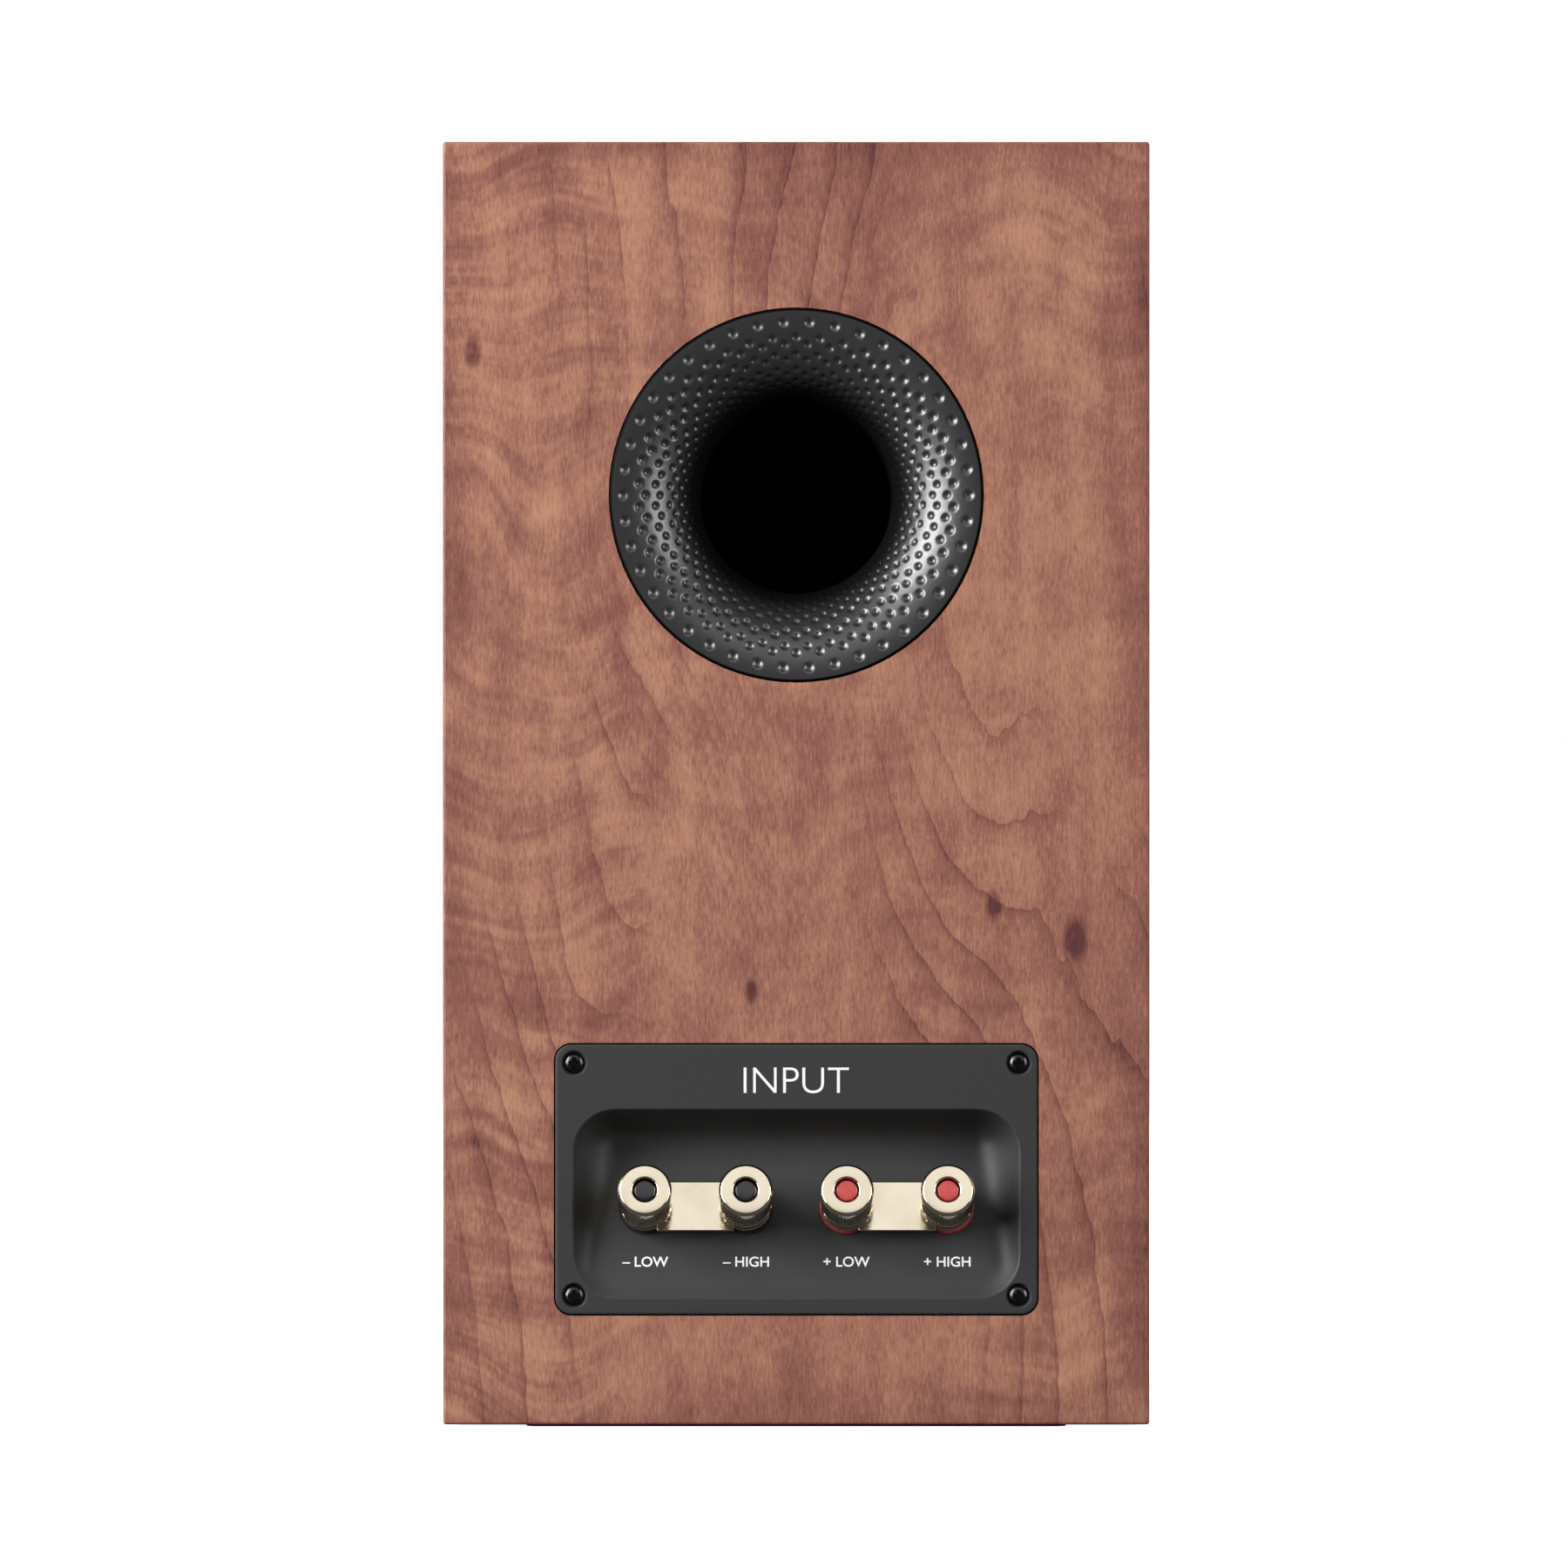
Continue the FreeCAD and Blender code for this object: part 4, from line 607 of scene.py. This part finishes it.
def lettering(name, words, cap_height, thinned, middle, up, out):
    """Words printed flat on a surface: middle is the middle of their capitals."""
    text = bpy.data.curves.new(name, "FONT")
    text.body, text.align_x, text.offset, text.resolution_u = words, "CENTER", -thinned, 6
    text.extrude = INK_THICK / cap_height * FONT_HALF_CAP
    loose = bpy.data.objects.new(name, text)
    bpy.context.scene.collection.objects.link(loose)
    bpy.context.view_layer.update()
    evaluated = loose.evaluated_get(bpy.context.evaluated_depsgraph_get())
    mesh = bpy.data.meshes.new_from_object(evaluated)
    bpy.data.objects.remove(loose)
    spots = np.array([v.co for v in mesh.vertices])
    low, high = spots.min(0), spots.max(0)
    scale = cap_height * MM / (high[1] - max(low[1], 0.0))
    right = up.cross(out)
    turn = Matrix((right, up, out)).transposed().to_4x4()
    shift = Matrix.Translation((-(low[0] + high[0]) / 2, -high[1] / 2, 0))
    stand = Matrix.Translation(middle + out * INK_PROUD * MM)
    mesh.transform(stand @ turn @ Matrix.Scale(scale, 4) @ shift)
    piece(mesh_object(name, mesh, white_ink), "root", "white_plastic")


title_at = on_face(0, 0, recess_bottom + RECESS_HEIGHT + TITLE_ABOVE_RECESS)
plate_up, plate_out = Vector((0, 0, 1)), Vector((0, 1, 0))
lettering("print_title", "INPUT", TITLE_CAP, TITLE_THINNED, title_at, plate_up, plate_out)
for number, words in enumerate(("– LOW", "– HIGH", "+ LOW", "+ HIGH"), 1):
    name = "print_label_%d" % number
    label_at = POSTS[number - 1] - UP_FLOOR * LABEL_BELOW_POST * MM
    lettering(name, words, LABEL_CAP, LABEL_THINNED, label_at, UP_FLOOR, POST_AXIS)


# Binding posts: pale gold-plated brass. A coloured insulator sits on the floor under a fixed
# collar, then the link, a washer and a clamping knob with a fluted grip and a bevelled cap.
def soften(points, radius, steps):
    """A closed profile with each corner rounded, and a point each side that keeps its flats flat."""
    points = [np.array(p, float) for p in points]
    made = []
    for k, corner in enumerate(points):
        back, on = points[k - 1] - corner, points[(k + 1) % len(points)] - corner
        reach = min(radius, 0.36 * np.linalg.norm(back), 0.36 * np.linalg.norm(on))
        back, on = back / np.linalg.norm(back), on / np.linalg.norm(on)
        made.append(corner + back * reach * 1.3)
        for t in np.linspace(0, 1, steps + 1):
            made.append(corner + back * reach * (1 - t) ** 2 + on * reach * t**2)
        made.append(corner + on * reach * 1.3)
    return made


gold = finish("pale gold plate on brass", "#dccfb9", "#e2d6c2", 9.0, 0.12, metallic=1.0)
refinish("post_shafts", gold)
black_gloss = finish("glossy black acetal", "#1f1f20", "#252525", 2.0, 0.22, bump_mm=0.01)
red_gloss = finish("glossy red acetal", "#a93c3c", "#b54443", 2.0, 0.26, bump_mm=0.01)
refinish("insulators_black", black_gloss)
refinish("insulators_red", red_gloss)

KNOB_RADIUS, GRIP_LOW, GRIP_HIGH = 7.25, 6.8, 11.9
FLUTES, FLUTE_DEPTH, FLUTE_PAST_GRIP, KNOB_BORE_WALL = 44, 0.42, 0.05, 6.0
knob_rows = [(3.1, 5.3), (6.4, 5.3), (6.65, 5.55), (6.65, 6.5), (6.95, 6.7)]
knob_rows += [(6.95, z) for z in np.linspace(GRIP_LOW, GRIP_HIGH, 10)]
knob_rows += [(6.6, 12.15), (6.6, 12.65), (7.1, 12.8), (7.22, 12.9), (KNOB_RADIUS, 13.05)]
knob_rows += [(KNOB_RADIUS, 13.2), (KNOB_RADIUS, 17.35), (7.22, 17.5), (7.13, 17.62), (6.7, 18.07)]
knob_rows += [(6.62, 18.15), (6.52, 18.19), (6.42, 18.2), (3.75, 18.2), (3.62, 18.19), (3.5, 18.15)]
knob_rows += [(3.4, 18.07), (3.33, 17.95), (3.3, 17.8), (3.3, 15.9), (3.1, 15.8)]

tree, given, result = new_tree("flutes", Count="NodeSocketFloat", Depth="NodeSocketFloat",
                               Low="NodeSocketFloat", High="NodeSocketFloat",
                               Origin="NodeSocketVector", Axis="NodeSocketVector",
                               Surface="NodeSocketMaterial")
position = add(tree, "GeometryNodeInputPosition").outputs[0]
# where a point lies along the knob's axis, out from it and round it
vectors = {"position": position, "level": (1, 0, 0), "up": tuple(UP_FLOOR), **dict(given.items())}
for label, operation, output, one, other in (
        ("offset", "SUBTRACT", "Vector", "position", "Origin"),
        ("along", "DOT_PRODUCT", "Value", "offset", "Axis"),
        ("on axis", "SCALE", "Vector", "Axis", "along"),
        ("radial", "SUBTRACT", "Vector", "offset", "on axis"),
        ("sideways", "DOT_PRODUCT", "Value", "radial", "level"),
        ("upwards", "DOT_PRODUCT", "Value", "radial", "up"),
        ("out", "LENGTH", "Value", "radial", None),
        ("direction", "NORMALIZE", "Vector", "radial", None)):
    inputs = {0: vectors[one]}
    if other:
        inputs["Scale" if operation == "SCALE" else 1] = vectors[other]
    vectors[label] = add(tree, "ShaderNodeVectorMath", inputs, operation=operation).outputs[output]
# the grooves are a wave round the knob, on its grip and on its outside only
values = dict(vectors)
for label, operation, *sources in (
        ("angle", "ARCTAN2", "upwards", "sideways"), ("angle", "MULTIPLY", "angle", "Count"),
        ("wave", "COSINE", "angle"), ("wave", "MULTIPLY", "wave", 0.5), ("wave", "ADD", "wave", 0.5),
        ("groove", "POWER", "wave", 0.7), ("outside", "GREATER_THAN", "out", KNOB_BORE_WALL * MM),
        ("above", "GREATER_THAN", "along", "Low"), ("below", "LESS_THAN", "along", "High"),
        ("on grip", "MULTIPLY", "above", "below"), ("where", "MULTIPLY", "on grip", "outside"),
        ("push", "MULTIPLY", "groove", "where"), ("push", "MULTIPLY", "push", "Depth"),
        ("push", "MULTIPLY", "push", -1.0)):
    inputs = {k: values.get(source, source) for k, source in enumerate(sources)}
    values[label] = add(tree, "ShaderNodeMath", inputs, operation=operation).outputs[0]
inward = {0: values["direction"], "Scale": values["push"]}
inward = add(tree, "ShaderNodeVectorMath", inward, operation="SCALE").outputs[0]
cut = add(tree, "GeometryNodeSetPosition", {"Geometry": given["Geometry"], "Offset": inward})
real = add(tree, "GeometryNodeRealizeInstances", {0: cut.outputs[0]})
painted = add(tree, "GeometryNodeSetMaterial", {0: real.outputs[0], "Material": given["Surface"]})
tree.links.new(painted.outputs[0], result[0])

washer_rows = soften([(3.12, 4.2), (6.85, 4.2), (6.85, 5.2), (3.12, 5.2)], 0.2, 3)
plug_rows = [(0, 6.0), (1.4, 6.0), (1.9, 6.7), (1.9, 15.8), (2.85, 15.8), (2.85, 17.1)]
plug_rows += [(2.8, 17.3), (2.66, 17.47), (2.4, 17.55), (2.0, 17.58), (0, 17.6)]
for number, post in enumerate(POSTS, 1):
    knob = lathe("clamp_knob_cap_%d" % number, knob_rows, post, POST_AXIS, FLUTES * 8, gold)
    grow(knob, tree, Count=float(FLUTES), Depth=FLUTE_DEPTH * MM, Low=(GRIP_LOW - FLUTE_PAST_GRIP) * MM,
         High=(GRIP_HIGH + FLUTE_PAST_GRIP) * MM, Origin=tuple(post), Axis=tuple(POST_AXIS), Surface=gold)
    piece(knob, "clamp_knob_%d" % number, "gold_plate", "knob_%d" % number)
    washer = lathe("clamp_ring_%d" % number, washer_rows, post, POST_AXIS, 96, gold)
    piece(washer, "washer_%d" % number, "gold_plate", "clamp_washer_%d" % number)
    plug_finish, plug_slot = (black_gloss, "black_plastic") if number < 3 else (red_gloss, "red_plastic")
    plug = lathe("socket_cap_%d" % number, plug_rows, post, POST_AXIS, 64, plug_finish)
    piece(plug, "socket_plug_%d" % number, plug_slot, "plug_%d" % number)


# Links: a stamped, plated plate hooks over each pair of posts and lifts off upwards.
def bevelled_copy(name, node, surface, width_mm):
    """A CAD node's own shape with its doubles merged and its sharp edges rounded."""
    mesh = frame["nodes"][node].data.copy()
    mesh.materials.clear()
    copy = bmesh.new()
    copy.from_mesh(mesh)
    bmesh.ops.remove_doubles(copy, verts=copy.verts, dist=1e-6)
    flat, sharp = math.radians(1), math.radians(40)
    bmesh.ops.dissolve_limit(copy, angle_limit=flat, verts=copy.verts, edges=copy.edges)
    edges = [edge for edge in copy.edges if edge.is_manifold and edge.calc_face_angle() > sharp]
    rounded = bmesh.ops.bevel(
        copy, geom=edges, offset=width_mm * MM, segments=3, profile=0.5, affect="EDGES")
    soft_faces = set(rounded["faces"])
    for face in copy.faces:
        face.smooth = face in soft_faces
    copy.to_mesh(mesh)
    copy.free()
    return mesh_object(name, mesh, surface)


for sign in ("negative", "positive"):
    link = bevelled_copy("jumper_" + sign, "link_plate_" + sign, gold, 0.18)
    piece(link, "link_" + sign, "gold_plate", "link_plate_" + sign)

# Screws: blackened steel pan heads with a cross recess, four in the tray's dishes and twelve
# round the drive units.
black_screw = finish("blackened steel", "#38383b", "#454549", 0.8, 0.28, metallic=1.0, bump_mm=0.004)
refinish("tray_screws", black_screw)
refinish("driver_screws", black_screw)

# Inside, behind the tray: zinc-plated nuts, tinned tags and the soldered leads.
zinc = finish("bright zinc plate", "#9ea2a8", "#b4b8bd", 1.5, 0.3, metallic=1.0, bump_mm=0.01)
refinish("post_nuts", zinc)
tinned = finish("tinned brass", "#b9bab8", "#cfd0cd", 1.2, 0.35, metallic=1.0, bump_mm=0.01)
refinish("solder_tags", tinned)
lead_cover = finish("soft insulation on stranded wire", "#101012", "#1a1a1c", 3.0, 0.45, bump_mm=0.02)
for node in ("tray_leads", "woofer_leads", "tweeter_leads"):
    refinish(node, lead_cover)

# Crossover: a glass-epoxy board on nylon standoffs, two wound coils and two film capacitors.
masked = finish("solder-masked glass epoxy", "#12361d", "#194526", 1.0, 0.3, bump_mm=0.02)
refinish("crossover_board", masked)
refinish("board_standoffs", finish("natural nylon", "#d6d3c8", "#e2dfd5", 2.0, 0.45, bump_mm=0.01))
film = finish("tape-wrapped film", "#c49a2e", "#d2a93c", 4.0, 0.3, bump_mm=0.02, stretch=(0.2, 1, 1))
refinish("capacitors", film)
turns_look = finish("enamelled copper winding", "#7c3a1c", "#b8653a", 0.9, 0.35, metallic=0.9,
                    bump_mm=0.25, stretch=(0.05, 0.05, 1))
for node in ("bass_coil", "treble_coil"):
    refinish(node, turns_look)

# Woofer: a cast, powder-coated frame; a coated pulp cone and dust cap; a butyl rubber roll
# between them; behind, the resin-dipped spider, the voice coil and the ferrite magnet.
powder_coat = finish("black powder coat on cast alloy", "#141414", "#1d1d1d", 0.7, 0.5, bump_mm=0.03)
refinish("woofer_frame", powder_coat)
refinish("woofer_trim_ring", finish("satin black trim", "#101010", "#161616", 0.8, 0.3, bump_mm=0.006))
pulp = finish("coated paper pulp", "#1d1d1f", "#2b2b2d", 0.9, 0.55, bump_mm=0.06)
refinish("woofer_cone", pulp)
refinish("woofer_dust_cap", finish("coated paper dust cap", "#202022", "#29292b", 0.7, 0.42, bump_mm=0.03))
wound = finish("copper wire on a film former", "#8a4a20", "#b5713a", 0.6, 0.35, metallic=0.6, bump_mm=0.05)
refinish("woofer_voice_coil", wound)
refinish("woofer_top_plate", zinc)
refinish("woofer_yoke", zinc)
refinish("woofer_magnet", finish("ground ferrite", "#242426", "#303033", 1.2, 0.6, bump_mm=0.04))
rubber = finish("butyl rubber", "#111112", "#19191a", 0.9, 0.5, bump_mm=0.02)
dipped = finish("resin-dipped cloth", "#8f6f35", "#b89350", 0.7, 0.75, bump_mm=0.12)
woofer_low, woofer_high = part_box("woofer_frame")
tweeter_low, tweeter_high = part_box("tweeter_faceplate")
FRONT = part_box("front_baffle")[0].y
woofer_origin = Vector((0, FRONT, (woofer_low.z + woofer_high.z) / 2))
tweeter_origin = Vector((0, FRONT, (tweeter_low.z + tweeter_high.z) / 2))


def suspend(made, origin, fixed_radius, moving_radius):
    """Bakes a ring-shaped suspension's placing into its mesh and works out each point's share of the way from
    the frame to the part that it carries; nothing uses that share.
    """
    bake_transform(made)
    spots = np.array([v.co for v in made.data.vertices])
    radius = np.hypot(spots[:, 0] - origin.x, spots[:, 2] - origin.z) / MM
    share = np.clip((fixed_radius - radius) / (fixed_radius - moving_radius), 0, 1)
    share = share * share * (3 - 2 * share)


ROLL_MIDDLE, ROLL, ROLL_LEVEL, RUBBER_THICK = 64.6, 5.0, 3.6, 0.6
roll = [(56.8, ROLL_LEVEL), (56.8, 3.05), (58.6, 3.0)]
roll += arc((ROLL_MIDDLE, ROLL_LEVEL), ROLL, 187, 353, 28)
roll += [(70.4, 3.0), (73.6, 3.0), (73.6, ROLL_LEVEL), (69.0, ROLL_LEVEL)]
roll += arc((ROLL_MIDDLE, ROLL_LEVEL), ROLL - RUBBER_THICK, 356, 184, 28)
surround = lathe("woofer_roll_surround", roll, woofer_origin, (0, 1, 0), 160, rubber)
suspend(surround, woofer_origin, 69.8, 59.6)
piece(surround, None, "surround_rubber", "woofer_surround")

SPIDER_LEVEL, SPIDER_THICK, SPIDER_WAVE, HALF_WAVES = 35.4, 0.5, 0.7, 10
SPIDER_INNER, SPIDER_OUTER = 16.6, 45.5
crests = []
for r in np.linspace(SPIDER_INNER, SPIDER_OUTER, 81):
    phase = (r - SPIDER_INNER) / (SPIDER_OUTER - SPIDER_INNER) * HALF_WAVES * math.pi
    crests.append((r, SPIDER_LEVEL - SPIDER_WAVE + SPIDER_WAVE * math.cos(phase)))
crests.append((51.5, SPIDER_LEVEL))
cloth = [(r, a - SPIDER_THICK) for r, a in crests] + crests[::-1]
spider = lathe("woofer_dipped_spider", cloth, woofer_origin, (0, 1, 0), 96, dipped)
suspend(spider, woofer_origin, SPIDER_OUTER, 18.0)
piece(spider, None, "spider_cloth", "woofer_spider")

# Tweeter: a moulded faceplate with a shallow horn, a drawn alloy dome on a soft roll, and a
# domed guard of woven black steel in front of it.
faceplate = finish("satin moulded faceplate", "#161617", "#1b1b1c", 0.5, 0.4, bump_mm=0.008)
refinish("tweeter_faceplate", faceplate)
drawn = finish("drawn aluminium foil", "#8f9194", "#a3a5a8", 3.0, 0.28, metallic=1.0, bump_mm=0.004)
refinish("tweeter_dome", drawn)
fine_wire = finish("fine copper wire", "#9a5528", "#b96f3c", 0.5, 0.35, metallic=0.8, bump_mm=0.03)
refinish("tweeter_voice_coil", fine_wire)
refinish("tweeter_top_plate", zinc)
refinish("tweeter_yoke", finish("black-coated steel", "#0f0f10", "#161617", 1.2, 0.6, bump_mm=0.01))
nickel = finish("nickel plate", "#b5b3ab", "#c8c6be", 1.6, 0.22, metallic=1.0, bump_mm=0.005)
refinish("tweeter_magnet", nickel)
small_roll = [(13.1, 5.95), (13.1, 5.6), (13.3, 5.55)] + arc((14.35, 5.75), 1.25, 188, 352, 12)
small_roll += [(15.8, 5.6), (17.6, 5.6), (17.6, 5.95), (15.6, 5.95)]
small_roll += arc((14.35, 5.95), 0.95, 355, 185, 12)
small = lathe("tweeter_roll_surround", small_roll, tweeter_origin, (0, 1, 0), 96, rubber)
suspend(small, tweeter_origin, 15.7, 13.1)
piece(small, None, "surround_rubber", "tweeter_surround")

GUARD_CREST, GUARD_RIM, GUARD_RIM_LEVEL, CELL, WIRE = -2.3, 16.0, 3.2, 1.7, 0.24
rise = GUARD_RIM_LEVEL - GUARD_CREST
guard_radius = (GUARD_RIM**2 + rise**2) / (2 * rise)
lattice = bmesh.new()
placed_at = {}


def guard_point(x, z):
    key = (round(x, 3), round(z, 3))
    if key not in placed_at:
        behind = GUARD_CREST + guard_radius - math.sqrt(guard_radius**2 - x * x - z * z)
        placed_at[key] = lattice.verts.new(tweeter_origin + Vector((x, behind, z)) * MM)
    return placed_at[key]


reach = int(GUARD_RIM / CELL) + 2
for row in range(-reach, reach + 1):
    for column in range(-reach, reach + 1):
        x = (column + 0.5 * (row % 2)) * CELL
        z = row * CELL * math.sqrt(3) / 2
        hexagon = []
        for a in [math.radians(60 * k) for k in range(6)]:
            hexagon.append((x + CELL / math.sqrt(3) * math.sin(a), z + CELL / math.sqrt(3) * math.cos(a)))
        if all(math.hypot(*corner) < GUARD_RIM for corner in hexagon):
            for a, b in zip(hexagon, hexagon[1:] + hexagon[:1]):
                ends = (guard_point(*a), guard_point(*b))
                if not lattice.edges.get(ends):
                    lattice.edges.new(ends)
guard_mesh = bpy.data.meshes.new("tweeter_guard")
lattice.to_mesh(guard_mesh)
lattice.free()
black_wire = finish("black-coated steel wire", "#0e0e0f", "#161617", 0.6, 0.35, bump_mm=0.01)
guard = mesh_object("tweeter_guard", guard_mesh, black_wire)
tree, given, result = new_tree("guard wires", Wire_radius="NodeSocketFloat", Surface="NodeSocketMaterial")
wires = add(tree, "GeometryNodeMeshToCurve", {"Mesh": given["Geometry"]})
section = add(tree, "GeometryNodeCurvePrimitiveCircle", {"Resolution": 6, "Radius": given["Wire radius"]})
tubes = add(tree, "GeometryNodeCurveToMesh", {"Curve": wires.outputs[0], "Profile Curve": section.outputs[0]})
real = add(tree, "GeometryNodeRealizeInstances", {0: tubes.outputs[0]})
painted = add(tree, "GeometryNodeSetMaterial", {0: real.outputs[0], "Material": given["Surface"]})
tree.links.new(painted.outputs[0], result[0])
grow(guard, tree, Wire_radius=WIRE * MM, Surface=black_wire)
rim_rows = soften([(15.6, 2.9), (16.55, 2.9), (16.55, 3.6), (15.6, 3.6)], 0.15, 3)
guard_rim = lathe("tweeter_guard_rim", rim_rows, tweeter_origin, (0, 1, 0), 96, black_wire)
piece(guard, "root", "mesh_steel", "tweeter_mesh")
piece(guard_rim, "root", "mesh_steel")

# Wadding: a soft pad of white polyester fibre on the inside of one side panel.
pad_low, pad_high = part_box("wadding")
pad = bmesh.new()
bmesh.ops.create_cube(pad, size=1.0)
bmesh.ops.subdivide_edges(pad, edges=pad.edges, cuts=23, use_grid_fill=True)
pad_middle, pad_size = (pad_low + pad_high) / 2, pad_high - pad_low
PAD_FIT = 0.98
generator = np.random.default_rng(7)
for vertex in pad.verts:
    spot = vertex.co * 2
    across = max(abs(spot.y), abs(spot.z))
    plump = math.sqrt(max(0.0, 1 - across**6)) * 0.55 + 0.45
    spot.x = (spot.x + 1) * plump - 1
    pull = 1 - 0.05 * (1 - abs(spot.x)) * across**3
    fluff = 1 - 0.03 * generator.random()
    spot.y, spot.z = spot.y * pull * fluff, spot.z * pull * fluff
    vertex.co = pad_middle + spot * PAD_FIT * 0.5 * pad_size
bmesh.ops.recalc_face_normals(pad, faces=pad.faces)
for face in pad.faces:
    face.smooth = True
pad_mesh = bpy.data.meshes.new("wadding_pad")
pad.to_mesh(pad_mesh)
pad.free()
fluffy = finish("polyester wadding", "#c9c8c2", "#efeee9", 2.5, 0.95, bump_mm=0.9)
wadding = mesh_object("wadding_pad", pad_mesh, fluffy)
smooth = wadding.modifiers.new("smooth", "SUBSURF")
smooth.levels = smooth.render_levels = 1
piece(wadding, "root", "wadding", "wadding")
